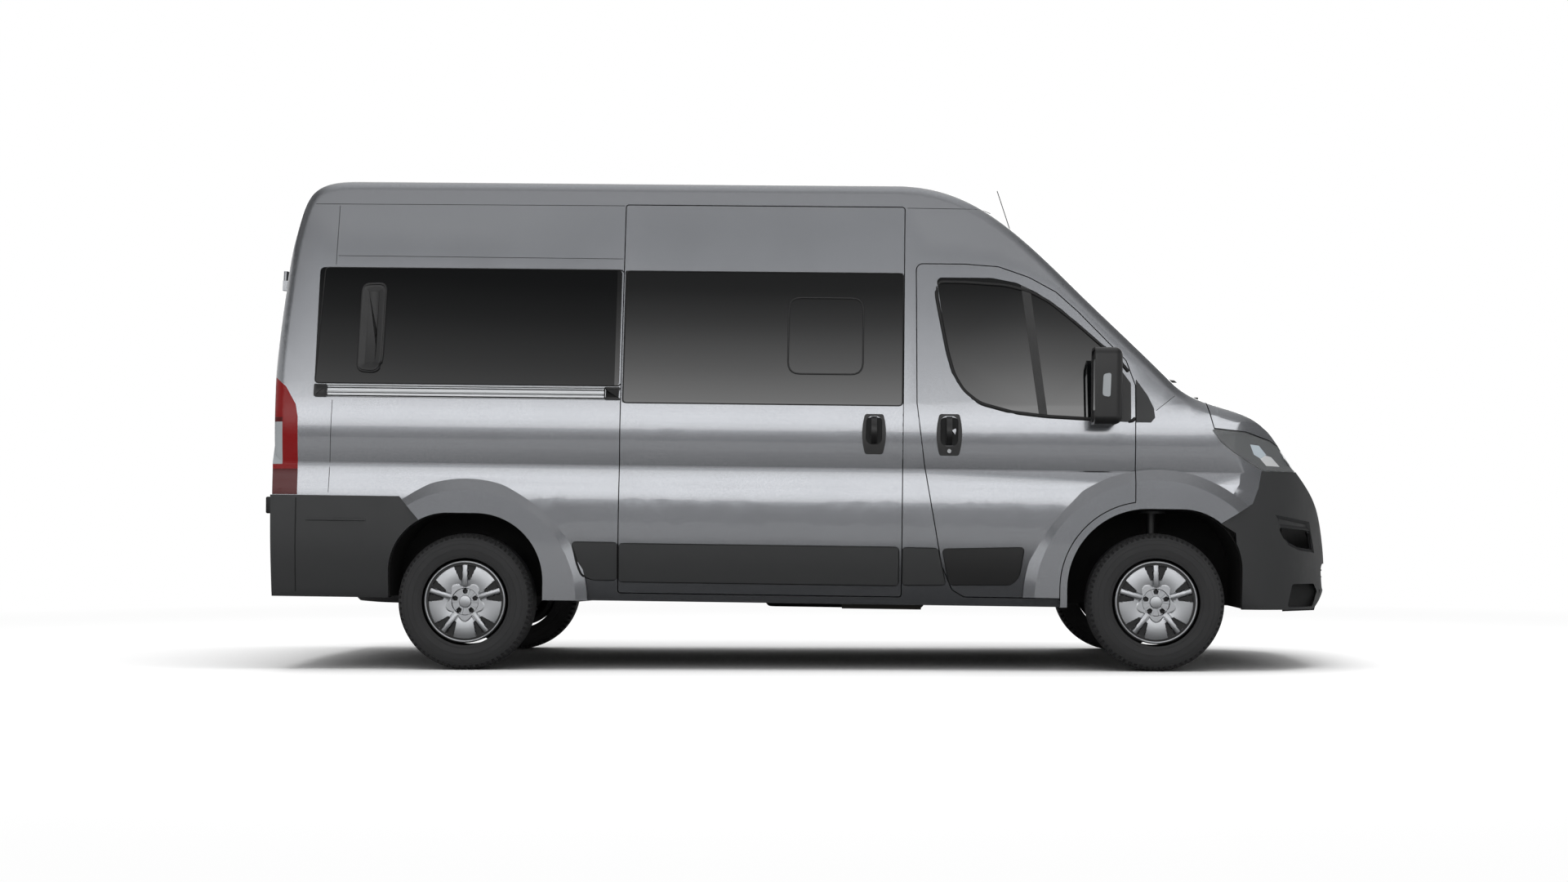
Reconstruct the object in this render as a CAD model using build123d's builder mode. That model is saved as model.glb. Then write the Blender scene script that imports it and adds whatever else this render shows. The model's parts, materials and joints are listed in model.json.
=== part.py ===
from build123d import *
import os
from math import cos, radians, sin, tan

os.makedirs("parts", exist_ok=True)

# Driving dimensions in millimetres.  The body is drawn level, x forward, y left, z up, with its origin
# at mid length on the ground, and every finished piece is tipped nose down by the rake of the empty van.
wheelbase = 3450
front_overhang = 948
rear_overhang = 1015
front_track = 1810
rear_track = 1790
rake = 0.75
tyre_radius = 341.5
tyre_width = 215
rim_radius = 190.5

half_width = 1010        # widest point of the flank, below the flares
roof_z = 2494            # top of the roof on the centre line
sill_z = 334             # lower edge of the sills
waist_z = 1342           # where the upright flank turns into the leaning side of the cabin
crease_z = 1013          # crease along the flank
cowl_z = 1443            # foot of the windscreen on the centre line
roof_crown = 56          # fall of the roof from the centre line to the sides
nose_bow = 110           # how far nose, bonnet and windscreen sweep back to the sides
tail_bow = 18
lean = 0.1335            # sideways lean of the cabin, per millimetre of height
edge_round = 60          # rounding along the roof sides, screen pillars and rear corners
arch_lip = 38            # strip of wing between the wheel opening and the cab door

door_thickness = 60
jamb_thickness = 30
seat_gap = 0.3           # a shut door from the jamb that it closes on
shut_gap = 5             # a moving panel from its neighbours
roof_thickness = 40
skin_thickness = 30      # wings, bonnet and front bumper
glass_thickness = 5
trim_thickness = 8
roof_half = 750
cowl_half = 820
firewall_x = 1880
floor_z = 535
floor_thickness = 30
front_housing_in = 570
rear_housing_in = 640
liner_thickness = 6
grille_bar = 8
lamp_inner = 520
vent_inner = 600         # the bumper's side vents and fog lamp recesses lie outboard of this
step_z = 500
rail_rear = -2600
rail_front = 2480
jamb_lap = 25            # how far a jamb reaches in behind its door
rear_door_low = sill_z + 186
rear_door_high = roof_z - 204
rear_door_half = 812
flare_proud = 15
flare_slope = 55

length = wheelbase + front_overhang + rear_overhang
nose_x = length / 2
tail_x = -length / 2 + 2.5
front_axle = nose_x - front_overhang
rear_axle = front_axle - wheelbase
tilt = radians(rake)
front_hub_x = front_axle * cos(tilt) - tyre_radius * sin(tilt)
front_hub_z = front_axle * sin(tilt) + tyre_radius * cos(tilt)
rear_hub_x = rear_axle * cos(tilt) - tyre_radius * sin(tilt)
rear_hub_z = rear_axle * sin(tilt) + tyre_radius * cos(tilt)
reach = 1500             # how far a cutting prism runs past the body
centre_clear = 300       # cutting prisms of one side start this far from the centre line


hinge_radius = 12
hinge_half = 50          # each half of a rear door hinge is this high
hinge_x = tail_x - 10    # at the lower hinge, from which the axis leans forward with the body
hinge_y = rear_door_half + 8
hinge_lean = 1.76
lower_hinge_z = rear_door_low + 242.5
upper_hinge_z = waist_z + 598
meeting_gap = 5          # from the centre to each rear door's edge, and behind its outer skin
meeting_step = 16
meeting_skin = 24


# ---------------------------------------------------------------- the outer form of the body
def side_outline(y, top, nose, rear, drop):
    """The outline from the side at one distance from the centre line, drawn in by the given insets"""
    spread = (y / half_width) ** 2
    roof = roof_z - roof_crown * spread - top
    front = nose_x - nose_bow * spread - nose
    tail = tail_x + tail_bow * spread + rear
    base = sill_z - drop
    with BuildSketch(Plane.XZ.offset(-y)) as outline:
        with BuildLine():
            back = Line((tail + 20, base), (tail, waist_z + 58))
            taper = Spline(
                back @ 1, (tail + 35, roof_z - 540), (tail + 64, roof_z - 334), tangents=[(0, 1), (0.24, 1)]
            )
            brow = Spline(
                taper @ 1, (tail + 150, roof - 60), (tail + 380, roof), tangents=[taper % 1, (1, 0)]
            )
            deck = Line(brow @ 1, (front - 2186, roof))
            screen = Spline(
                deck @ 1,
                (front - 1858, roof - 66),
                (front - 1570, roof_z - 288 - top),
                (front - 1242, cowl_z + 460 - top),
                (front - 762, cowl_z - top),
                tangents=[(1, 0), (0.71, -0.70)],
            )
            bonnet = Spline(
                screen @ 1,
                (front - 582, cowl_z - 91 - top),
                (front - 333, cowl_z - 193 - top),
                (front - 227, cowl_z - 333 - top / 2),
                (front - 147, crease_z - 13),
                (front - 67, sill_z + 540),
                (front - 21, sill_z + 370),
                (front, sill_z + 190),
                (front - 17, sill_z + 70),
                (front - 67, base),
                tangents=[screen % 1, (-0.6, -0.6)],
            )
            Line(bonnet @ 1, back @ 0)
        make_face()
    return outline.sketch


def hull(side=0.0, top=0.0, nose=0.0, rear=0.0, drop=0.0):
    """The whole body as one solid, drawn in by the given insets"""
    with BuildPart() as crown:
        for y in (-half_width - 50, 0, half_width + 50):
            add(side_outline(y, top, nose, rear, drop))
        loft()
    with BuildPart() as plan:
        with BuildSketch(Plane.XY.offset(sill_z - 40)):
            with BuildLine():
                back = Line((tail_x - 100, 0), (tail_x - 100, half_width + 30 - side))
                flank = Line(back @ 1, (nose_x - 1300, half_width + 30 - side))
                Spline(
                    flank @ 1,
                    (nose_x - 556, half_width - 10 - side),
                    (nose_x - 266 - nose * 0.6, half_width - 130 - side),
                    (nose_x - 86 - nose, half_width - 370 - side * 0.6),
                    (nose_x + 6 - nose, 0),
                    tangents=[(1, 0), (0, -1)],
                )
                mirror(about=Plane.XZ)
            make_face()
        extrude(amount=roof_z)
    with BuildPart() as flanks:
        wide = half_width - side
        with BuildSketch(Plane.YZ.offset(tail_x - 200)):
            with BuildLine():
                low = Spline(
                    (wide - 45, sill_z - 14 - drop),
                    (wide - 26, sill_z + 66),
                    (wide - 6, sill_z + 226),
                    (wide, sill_z + 386),
                    tangents=[(0.5, 1), (0, 1)],
                )
                mid = Spline(
                    low @ 1,
                    (wide - 3, crease_z - 133),
                    (wide - 12, crease_z - 58),
                    tangents=[(0, 1), (-0.14, 1)],
                )
                under = Line(mid @ 1, (wide - 13, crease_z - 7))
                step = Line(under @ 1, (wide - 17, crease_z))
                hip = Spline(
                    step @ 1,
                    (wide - 11, crease_z + 62),
                    (wide - 7, crease_z + 147),
                    (wide - 11, waist_z - 82),
                    (wide - 20, waist_z),
                    tangents=[(0.12, 1), (-lean, 1)],
                )
                upper = Line(hip @ 1, (wide - 20 - 1400 * lean, waist_z + 1400))
                Line(upper @ 1, (0, waist_z + 1400))
                Line((0, sill_z - 14 - drop), low @ 0)
                mirror(about=Plane.YZ)
            make_face()
        extrude(amount=length + 400)
    return crown.part & flanks.part & plan.part


def is_upper_corner(edge):
    """True for the roof sides, screen pillars and rear corners above the crease of the flank"""
    start, middle, end = edge.position_at(0), edge.position_at(0.5), edge.position_at(1)
    level = abs(start.Z - end.Z) < 10 and middle.Z < roof_z - 150
    nose_corner = abs(start.Y - end.Y) > 250
    below = middle.Z < crease_z - 1
    return abs(middle.Y) > 300 and not level and not nose_corner and not below


with BuildPart() as body_form:
    add(hull())
    fillet(body_form.edges().filter_by(is_upper_corner), edge_round)

outer = body_form.part
door_back = hull(side=door_thickness, top=roof_thickness, nose=skin_thickness, rear=door_thickness, drop=20)
jamb_face = hull(
    side=door_thickness + seat_gap,
    top=roof_thickness + seat_gap,
    nose=skin_thickness + seat_gap,
    rear=door_thickness + seat_gap,
    drop=20,
)
wall = door_thickness + jamb_thickness
cavity = hull(side=wall, top=roof_thickness, nose=skin_thickness, rear=wall, drop=20)
skin_back = hull(side=skin_thickness, top=skin_thickness, nose=skin_thickness, rear=skin_thickness, drop=20)
pane_back = hull(
    side=2 * glass_thickness,
    top=2 * glass_thickness,
    nose=2 * glass_thickness,
    rear=2 * glass_thickness,
    drop=20,
)
door_back_deep = hull(
    side=door_thickness, top=door_thickness, nose=door_thickness, rear=door_thickness, drop=20
)
glass_back = hull(
    side=glass_thickness, top=glass_thickness, nose=glass_thickness, rear=glass_thickness, drop=20
)
trim_face = hull(side=-trim_thickness, top=-trim_thickness, nose=-trim_thickness, rear=-trim_thickness)


# ---------------------------------------------------------------- outlines on the side and ends
def arch_outline(front_x, rear_x, crown_z, front_round, rear_round, grow=0.0):
    """The opening of a wheel arch: upright sides, a flat crown and two large corners"""
    with BuildSketch(Plane.XZ) as arch:
        with BuildLine():
            Polyline(
                (rear_x - grow, sill_z - 200),
                (rear_x - grow, crown_z - rear_round),
            )
            RadiusArc(
                (rear_x - grow, crown_z - rear_round),
                (rear_x + rear_round, crown_z + grow),
                rear_round + grow,
            )
            Line((rear_x + rear_round, crown_z + grow), (front_x - front_round, crown_z + grow))
            RadiusArc(
                (front_x - front_round, crown_z + grow),
                (front_x + grow, crown_z - front_round),
                front_round + grow,
            )
            Polyline(
                (front_x + grow, crown_z - front_round),
                (front_x + grow, sill_z - 200),
                (rear_x - grow, sill_z - 200),
            )
        make_face()
    return arch.sketch


def front_arch(grow=0.0):
    return arch_outline(front_hub_x + 425, front_hub_x - 444, front_hub_z + 464, 300, 400, grow)


def rear_arch(grow=0.0):
    return arch_outline(rear_hub_x + 395, rear_hub_x - 388, rear_hub_z + 445, 340, 300, grow)


def side_shape(points, radius=0.0, grow=0.0):
    """A closed outline seen from the side, with rounded corners, grown by a clearance"""
    with BuildSketch(Plane.XZ) as shape:
        Polygon(*points, align=None)
        if radius:
            fillet(shape.vertices(), radius)
        if grow:
            offset(amount=grow, kind=Kind.INTERSECTION)
    return shape.sketch


def end_shape(points, radius=0.0, grow=0.0):
    """A closed outline seen from the end, with rounded corners, grown by a clearance"""
    with BuildSketch(Plane.YZ) as shape:
        Polygon(*points, align=None)
        if radius:
            fillet(shape.vertices(), radius)
        if grow:
            offset(amount=grow, kind=Kind.INTERSECTION)
    return shape.sketch


def right_of(shape):
    """The prism of a side outline through the right-hand side, clear of the centre"""
    return extrude(Location((0, -centre_clear, 0)) * shape, reach - centre_clear)


def across(shape):
    """The prism of a side outline right across the body"""
    return extrude(shape, reach, both=True)


def along(shape):
    """The prism of an end outline along the whole body"""
    return extrude(shape, length, both=True)


# the sliding door, from behind the cab door to the rear quarter
slide_front = front_hub_x - 1266
slide_rear = slide_front - 1413
slide_low = sill_z + 42
slide_high = roof_z - 154
slide_points = [
    (slide_rear, slide_low), (slide_front, slide_low), (slide_front, slide_high), (slide_rear, slide_high)
]

# the cab door: slanted rear edge, sill, edge round the arch, hinge edge and sloping head
door_front = front_hub_x - 111
door_head = waist_z + 707
cab_door_points = [
    (front_hub_x - 1202, door_head),
    (front_hub_x - 1193, waist_z),
    (front_hub_x - 1152, crease_z + 17),
    (front_hub_x - 1062, sill_z + 200),
    (front_hub_x - 1010, sill_z + 80),
    (front_hub_x - 950, sill_z + 46),
    (door_front, sill_z + 46),
    (door_front, waist_z + 100),
    (door_front - 45, waist_z + 225),
    (door_front - 282, waist_z + 469),
    (door_front - 392, waist_z + 568),
    (door_front - 527, waist_z + 642),
    (door_front - 680, waist_z + 695),
    (door_front - 850, door_head),
]


def cab_door_shape(grow=0.0):
    with BuildSketch(Plane.XZ) as shape:
        add(side_shape(cab_door_points, 30, grow))
        add(front_arch(arch_lip - grow), mode=Mode.SUBTRACT)
    return shape.sketch


# windows: the glass of the flank is flush and the cab door's glass sits in its frame
quarter_glass = side_shape(
    [
        (tail_x + 224, waist_z + 67),
        (slide_rear - 12, waist_z + 67),
        (slide_rear - 12, waist_z + 664),
        (tail_x + 224, waist_z + 664),
    ],
    24,
)
middle_glass = side_shape(
    [
        (slide_rear + 4, waist_z - 15),
        (slide_front - 4, waist_z - 15),
        (slide_front - 4, waist_z + 660),
        (slide_rear + 4, waist_z + 660),
    ],
    8,
)
quarter_hole = side_shape(
    [
        (tail_x + 274, waist_z + 112),
        (slide_rear - 62, waist_z + 112),
        (slide_rear - 62, waist_z + 619),
        (tail_x + 274, waist_z + 619),
    ],
    60,
)
middle_hole = side_shape(
    [
        (slide_rear + 74, waist_z + 60),
        (slide_front - 74, waist_z + 60),
        (slide_front - 74, waist_z + 600),
        (slide_rear + 74, waist_z + 600),
    ],
    60,
)
window_front = door_front - 20
cab_window = side_shape(
    [
        (front_hub_x - 1103, waist_z + 640),
        (front_hub_x - 1045, waist_z + 263),
        (front_hub_x - 1000, waist_z + 110),
        (front_hub_x - 920, waist_z + 20),
        (front_hub_x - 720, waist_z - 42),
        (window_front, waist_z - 84),
        (window_front, waist_z + 110),
        (front_hub_x - 264, waist_z + 292),
        (front_hub_x - 475, waist_z + 485),
        (front_hub_x - 597, waist_z + 567),
        (front_hub_x - 699, waist_z + 616),
        (front_hub_x - 823, waist_z + 640),
    ],
    24,
)

# the rear door opening and the windscreen, seen from the ends

def rear_opening(grow=0.0, half_gap=0.0):
    high_half = rear_door_half - (rear_door_high - waist_z) * lean
    return end_shape(
        [
            (-half_gap, rear_door_low),
            (-rear_door_half, rear_door_low),
            (-rear_door_half, waist_z),
            (-high_half, rear_door_high),
            (-half_gap, rear_door_high),
        ],
        0,
        grow,
    )


def tail_end(shape):
    """The prism of an end outline through the rear wall only"""
    return extrude(Location((tail_x - 100, 0, 0)) * shape, 600)


screen_high = roof_z - 300
screen_low = cowl_z + 30
screen_shape = end_shape(
    [(-740, screen_high), (740, screen_high), (880, screen_low), (-880, screen_low)], 60
)

# front end: bonnet, headlamp and bumper meet along these lines
lamp_top = [
    (front_hub_x + 282, waist_z - 107),
    (front_hub_x + 437, waist_z - 123),
    (front_hub_x + 560, waist_z - 164),
    (front_hub_x + 640, waist_z - 212),
    (front_hub_x + 700, waist_z - 257),
    (nose_x - 180, crease_z + 32),
    (nose_x - 140, crease_z + 14),
]
bonnet_shape = side_shape(
    [(front_hub_x + 226, waist_z + 180), (front_hub_x + 251, waist_z)]
    + lamp_top
    + [(nose_x + 200, crease_z + 14), (nose_x + 200, waist_z + 180)]
)
lamp_shape = side_shape(
    [(x, z - shut_gap) for x, z in lamp_top]
    + [
        (nose_x - 140, crease_z + 9),
        (front_hub_x + 530, crease_z + 9),
        (front_hub_x + 457, crease_z + 48),
        (front_hub_x + 375, crease_z + 101),
        (front_hub_x + 314, crease_z + 149),
        (front_hub_x + 270, waist_z - 119),
    ]
)
bumper_shape = side_shape(
    [
        (front_hub_x + 425, sill_z - 40),
        (front_hub_x + 390, sill_z + 380),
        (front_hub_x + 313, front_hub_z + 396),
        (front_hub_x + 382, front_hub_z + 438),
        (front_hub_x + 475, front_hub_z + 496),
        (front_hub_x + 505, front_hub_z + 573),
        (front_hub_x + 520, crease_z + 9),
        (nose_x + 200, crease_z + 9),
        (nose_x + 200, sill_z - 40),
    ]
)
side_vent = side_shape(
    [
        (front_hub_x + 610, sill_z + 412),
        (nose_x - 150, sill_z + 396),
        (nose_x - 118, sill_z + 296),
        (front_hub_x + 700, sill_z + 316),
        (front_hub_x + 640, sill_z + 356),
    ],
    12,
)
fog_recess = side_shape(
    [
        (front_hub_x + 694, sill_z + 128),
        (nose_x - 118, sill_z + 128),
        (nose_x - 92, sill_z + 88),
        (nose_x - 128, sill_z + 12),
        (front_hub_x + 664, sill_z + 12),
    ],
    14,
)
grille_upper = end_shape(
    [(-540, crease_z - 130), (540, crease_z - 130), (560, crease_z - 15), (-560, crease_z - 15)], 30
)
grille_lower = end_shape(
    [(-560, sill_z + 90), (560, sill_z + 90), (600, sill_z + 226), (-600, sill_z + 226)], 40
)


def nose_end(shape):
    """The prism of an end outline through the nose only"""
    return extrude(Location((nose_x - 500, 0, 0)) * shape, 700)


# ---------------------------------------------------- flanks, with door openings, arches and windows
flank_end = end_shape(
    [
        (-half_width - 90, sill_z - 80),
        (-half_width - 90, roof_z + 200),
        (-roof_half, roof_z + 200),
        (-roof_half, screen_high + 5),
        (-600, screen_high + 5),
        (-600, sill_z - 80),
    ]
)
cabin_zone = side_shape(
    [
        (tail_x - 100, sill_z - 80),
        (door_front + shut_gap, sill_z - 80),
        (door_front + shut_gap, waist_z - 26),
        (door_front + 100, waist_z - 26),
        (front_hub_x + 130, waist_z + 90),
        (front_hub_x + 240, waist_z + 180),
        (front_hub_x + 240, roof_z + 200),
        (tail_x - 100, roof_z + 200),
    ]
)
tail_lamp_shape = side_shape(
    [
        (tail_x - 60, waist_z + 94),
        (tail_x + 25, waist_z + 94),
        (tail_x + 82, waist_z + 49),
        (tail_x + 136, waist_z - 42),
        (tail_x + 148, waist_z - 104),
        (tail_x + 155, sill_z + 512),
        (tail_x - 60, sill_z + 512),
    ]
)
rear_bumper_shape = side_shape(
    [
        (tail_x - 60, sill_z + 510),
        (rear_hub_x - 337, sill_z + 510),
        (rear_hub_x - 236, sill_z + 394),
        (rear_hub_x - 236, sill_z - 40),
        (tail_x - 60, sill_z - 40),
    ]
)
outboard = end_shape([(-half_width - 90, 0), (-half_width - 90, roof_z), (-822, roof_z), (-822, 0)])
cabin_shell = outer - cavity
rear_arch_hole = right_of(rear_arch())
front_arch_hole = right_of(front_arch())


def flare(hub_x, hub_z, radius):
    """A shallow dish about the wheel's axis that stands proud of the flank"""
    with BuildPart() as dish:
        with BuildSketch(Plane.XZ.offset(half_width - wall + 5)):
            with Locations((hub_x, hub_z)):
                Circle(radius)
        extrude(amount=wall + flare_proud - 5)
        rim = dish.edges().filter_by(GeomType.CIRCLE).sort_by(Axis.Y)[0]
        chamfer(rim, length=flare_proud + 6, length2=flare_slope)
        split(bisect_by=Plane.XY.offset(sill_z), keep=Keep.TOP)
    return dish.part


rear_flare = flare(rear_hub_x, rear_hub_z, 617)
front_flare = flare(front_hub_x, front_hub_z, 660)
screen_cut = along(screen_shape)
flank_blank = cabin_shell & along(flank_end) & right_of(cabin_zone)

# the cuts that the two flanks share, and those for the sliding door or the window in its place
cab_door_cuts = [right_of(cab_door_shape(shut_gap)) - jamb_face, right_of(cab_door_shape(-jamb_lap))]
rear_door_cuts = [tail_end(rear_opening(shut_gap)) - jamb_face, tail_end(rear_opening(-jamb_lap, -jamb_lap))]
slide_cuts = [
    right_of(side_shape(slide_points, 12, shut_gap)) - door_back,
    right_of(side_shape(slide_points, 12, -jamb_lap)),
]
quarter_cuts = [right_of(quarter_glass) - glass_back, right_of(quarter_hole)]
middle_cuts = [right_of(middle_glass) - glass_back, right_of(middle_hole)]
tail_lamp_block = right_of(tail_lamp_shape) & along(outboard)
cowl_zone = side_shape(
    [
        (firewall_x - 40, waist_z + 40),
        (front_hub_x + 221, waist_z + 40),
        (front_hub_x + 221, waist_z + 250),
        (firewall_x - 40, waist_z + 250),
    ]
)
cowl_end = end_shape([(-cowl_half, 0), (cowl_half, 0), (cowl_half, roof_z), (-cowl_half, roof_z)])
cowl_block = across(cowl_zone) & along(cowl_end)
flank_cuts = (
    [right_of(front_arch(arch_lip - shut_gap)), rear_arch_hole]
    + cab_door_cuts
    + rear_door_cuts
    + quarter_cuts
    + [tail_lamp_block - door_back, right_of(rear_bumper_shape) - door_back, screen_cut, cowl_block]
)


def flank(door_or_window_cuts):
    """The whole right-hand side from rear corner to screen pillar"""
    with BuildPart() as side:
        add(flank_blank)
        add(rear_flare)
        for cut in flank_cuts + door_or_window_cuts:
            add(cut, mode=Mode.SUBTRACT)
    return side.part


def hinge_plane(centre_z):
    """The plane across the rear door's hinge axis at one height, its x axis pointing forward"""
    slope = tan(radians(hinge_lean))
    return Plane(
        origin=(hinge_x + (centre_z - lower_hinge_z) * slope, -hinge_y, centre_z),
        x_dir=(1, 0, -slope),
        z_dir=(slope, 0, 1),
    )


def body_leaf(centre_z, root):
    """The lower half of a rear door hinge: a barrel and the arm that carries it on the body"""
    with BuildPart() as leaf:
        with BuildSketch(hinge_plane(centre_z)):
            Circle(hinge_radius)
            Polygon((-8, 0), (-8, -26), (root, -26), (root, -4), (8, -4), (8, 0), align=None)
        extrude(amount=-hinge_half)
    return leaf.part


def door_leaf(centre_z, edge, root):
    """The upper half of a rear door hinge: a barrel and the strap that runs on to the door"""
    with BuildPart() as leaf:
        with BuildSketch(hinge_plane(centre_z).offset(seat_gap)):
            Circle(hinge_radius)
            Polygon(
                (-8, 0),
                (8, 0),
                (8, edge + 6),
                (root, edge + 6),
                (root, edge + 60),
                (-8, edge + 60),
                align=None,
            )
        extrude(amount=hinge_half)
    return leaf.part


body_leaves = body_leaf(lower_hinge_z, 94) + body_leaf(upper_hinge_z, 39)
side_right = flank(slide_cuts) + body_leaves
side_left = mirror(flank(middle_cuts) + body_leaves, about=Plane.XZ)

# roof, with the header over the rear doors and the forehead over the windscreen
roof_end = end_shape(
    [
        (-roof_half, screen_high + 5),
        (-roof_half, roof_z + 200),
        (roof_half, roof_z + 200),
        (roof_half, screen_high + 5),
    ]
)
rear_door_cuts_left = [mirror(cut, about=Plane.XZ) for cut in rear_door_cuts]
roof_blank = cabin_shell & along(roof_end)
with BuildPart() as roof:
    add(roof_blank)
    for cut in rear_door_cuts + rear_door_cuts_left:
        add(cut, mode=Mode.SUBTRACT)
    add(screen_cut, mode=Mode.SUBTRACT)

# ---------------------------------------------------------------- glass and doors
windscreen = (outer - glass_back) & extrude(Location((nose_x - 2400, 0, 0)) * screen_shape, 2400)
quarter_pane = (outer - glass_back) & right_of(quarter_glass)
middle_pane = (outer - glass_back) & right_of(middle_glass)
side_windows = [
    quarter_pane, middle_pane, mirror(quarter_pane, about=Plane.XZ), mirror(middle_pane, about=Plane.XZ)
]

door_shell = outer - door_back
slide_blank = door_shell & right_of(side_shape(slide_points, 12))
with BuildPart() as sliding_door:
    add(slide_blank)
    for cut in middle_cuts:
        add(cut, mode=Mode.SUBTRACT)

# cab door: panel, then glass, then the black trim of dividing bar, mirror foot and handle
foot_shape = side_shape(
    [
        (front_hub_x - 264, waist_z - 82),
        (window_front - 0.5, waist_z - 84),
        (window_front - 0.5, waist_z + 120),
        (front_hub_x - 183, waist_z + 219),
        (front_hub_x - 264, waist_z + 292),
    ]
)
bar_shape = side_shape(
    [
        (front_hub_x - 691, waist_z + 700),
        (front_hub_x - 646, waist_z + 700),
        (front_hub_x - 540, waist_z - 100),
        (front_hub_x - 581, waist_z - 100),
    ]
)
cab_door_blank = door_shell & right_of(cab_door_shape())
window_cut = right_of(cab_window)
front_flare_door = (front_flare - door_back) & right_of(cab_door_shape())
with BuildPart() as cab_door_right:
    add(cab_door_blank)
    add(front_flare_door)
    add(window_cut, mode=Mode.SUBTRACT)
foot_cut = right_of(foot_shape)
bar_cut = right_of(bar_shape)
cab_pane = (glass_back - pane_back) & window_cut
cab_glass_pieces = (cab_pane - foot_cut - bar_cut).solids().sort_by(SortBy.VOLUME)[-2:]
cab_glass_right = Compound(children=cab_glass_pieces)
bar_block = (outer - pane_back) & window_cut & bar_cut
foot_block = (trim_face - pane_back) & foot_cut & window_cut

# rear doors
rear_window = end_shape(
    [(-90, waist_z + 96), (-690, waist_z + 96), (-610, waist_z + 640), (-90, waist_z + 640)], 50
)
rear_window_cut = tail_end(rear_window)
meeting_line = end_shape([(-meeting_step, 0), (0, 0), (0, roof_z + 50), (-meeting_step, roof_z + 50)])
meeting_rebate = tail_end(meeting_line) - (outer - hull(*[meeting_skin] * 4))
rear_door_blank = (door_shell & tail_end(rear_opening(0, meeting_gap))) - meeting_rebate
upper_edge_y = rear_door_half - (upper_hinge_z + hinge_half - waist_z) * lean
door_leaves = door_leaf(lower_hinge_z, hinge_y - rear_door_half, 34) + door_leaf(
    upper_hinge_z, hinge_y - upper_edge_y, 24
)
with BuildPart() as rear_door_right:
    add(rear_door_blank)
    add(rear_window_cut, mode=Mode.SUBTRACT)
    add(door_leaves)
    with BuildSketch(Plane.YZ.offset(tail_x - 12)):
        with Locations((-95, crease_z + 60)):
            RectangleRounded(130, 44, 15)
    extrude(amount=20)
rear_glass_right = (outer - glass_back) & rear_window_cut

# ---------------------------------------------------------------- front end
skin = outer - skin_back
bonnet = skin & across(bonnet_shape)
lamp_end = end_shape(
    [(-half_width - 90, 0), (-half_width - 90, roof_z), (-lamp_inner, roof_z), (-lamp_inner, 0)]
)
headlamp = (outer - door_back_deep) & right_of(lamp_shape) & along(lamp_end)
nose_arches = [front_arch_hole, mirror(front_arch_hole, about=Plane.XZ)]
grille_cuts = [nose_end(grille_upper), nose_end(grille_lower)]
vent_end = end_shape(
    [(-half_width - 90, 0), (-half_width - 90, roof_z), (-vent_inner, roof_z), (-vent_inner, 0)]
)
vent_cuts = [right_of(shape) & along(vent_end) for shape in (side_vent, fog_recess)]
vent_cuts = vent_cuts + [mirror(cut, about=Plane.XZ) for cut in vent_cuts]
centre_end = end_shape([(-lamp_inner, 0), (lamp_inner, 0), (lamp_inner, roof_z), (-lamp_inner, roof_z)])
nose_panel = skin & across(lamp_shape) & along(centre_end)
bumper_blank = (skin & across(bumper_shape)) + nose_panel
with BuildPart() as front_bumper:
    add(bumper_blank)
    for cut in nose_arches + grille_cuts + vent_cuts:
        add(cut, mode=Mode.SUBTRACT)
wing_zone = side_shape(
    [
        (door_front + shut_gap, sill_z - 80),
        (nose_x + 200, sill_z - 80),
        (nose_x + 200, waist_z + 180),
        (front_hub_x + 240, waist_z + 180),
        (front_hub_x + 130, waist_z + 90),
        (door_front + 100, waist_z - 26),
        (door_front + shut_gap, waist_z - 26),
    ]
)
wing_reach = right_of(wing_zone) + (right_of(front_arch(arch_lip - shut_gap)))
wing_blank = (skin & along(flank_end) & wing_reach) + ((front_flare - skin_back) & wing_reach)
wing = (
    wing_blank
    - right_of(bumper_shape)
    - right_of(lamp_shape)
    - right_of(offset(bonnet_shape, shut_gap, kind=Kind.INTERSECTION))
    - front_arch_hole
    - cowl_block
) & along(outboard)
wing = wing.solids().sort_by(SortBy.VOLUME)[-1]

cowl_blank = (skin & cowl_block) - screen_cut
arch_floor = front_hub_z + 464 + 12
with BuildPart() as cab_front:
    add(cowl_blank)
    with BuildSketch(Plane.YZ.offset(firewall_x)):
        with BuildLine():
            Polyline(
                (-front_housing_in + 10, floor_z - floor_thickness),
                (front_housing_in - 10, floor_z - floor_thickness),
                (front_housing_in - 10, arch_floor),
                (cowl_half + 50, arch_floor),
                (cowl_half + 50, waist_z + 18),
                (cowl_half - 2, waist_z + 18),
                (cowl_half - 2, waist_z + 41),
                (2 - cowl_half, waist_z + 41),
                (2 - cowl_half, waist_z + 18),
                (-cowl_half - 50, waist_z + 18),
                (-cowl_half - 50, arch_floor),
                (-front_housing_in + 10, arch_floor),
                close=True,
            )
        make_face()
    extrude(amount=15)
    with BuildSketch(Plane.XY.offset(waist_z + 41)):
        with Locations((firewall_x + 50, 0)):
            Rectangle(100, 2 * cowl_half - 2)
    extrude(amount=12)

grille_frame = (pane_back - skin_back) & (grille_cuts[0] + grille_cuts[1])
with BuildPart() as grille_gaps:
    for low, high, count in ((crease_z - 130, crease_z - 15, 4), (sill_z + 90, sill_z + 226, 4)):
        pitch = (high - low) / count
        for row in range(count):
            with BuildSketch(Plane.YZ.offset(nose_x - 500)):
                with Locations(*[(y, low + pitch * (row + 0.5)) for y in (-405, -135, 135, 405)]):
                    Rectangle(255, pitch - grille_bar)
            extrude(amount=700)
grille = grille_frame - grille_gaps.part

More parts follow.
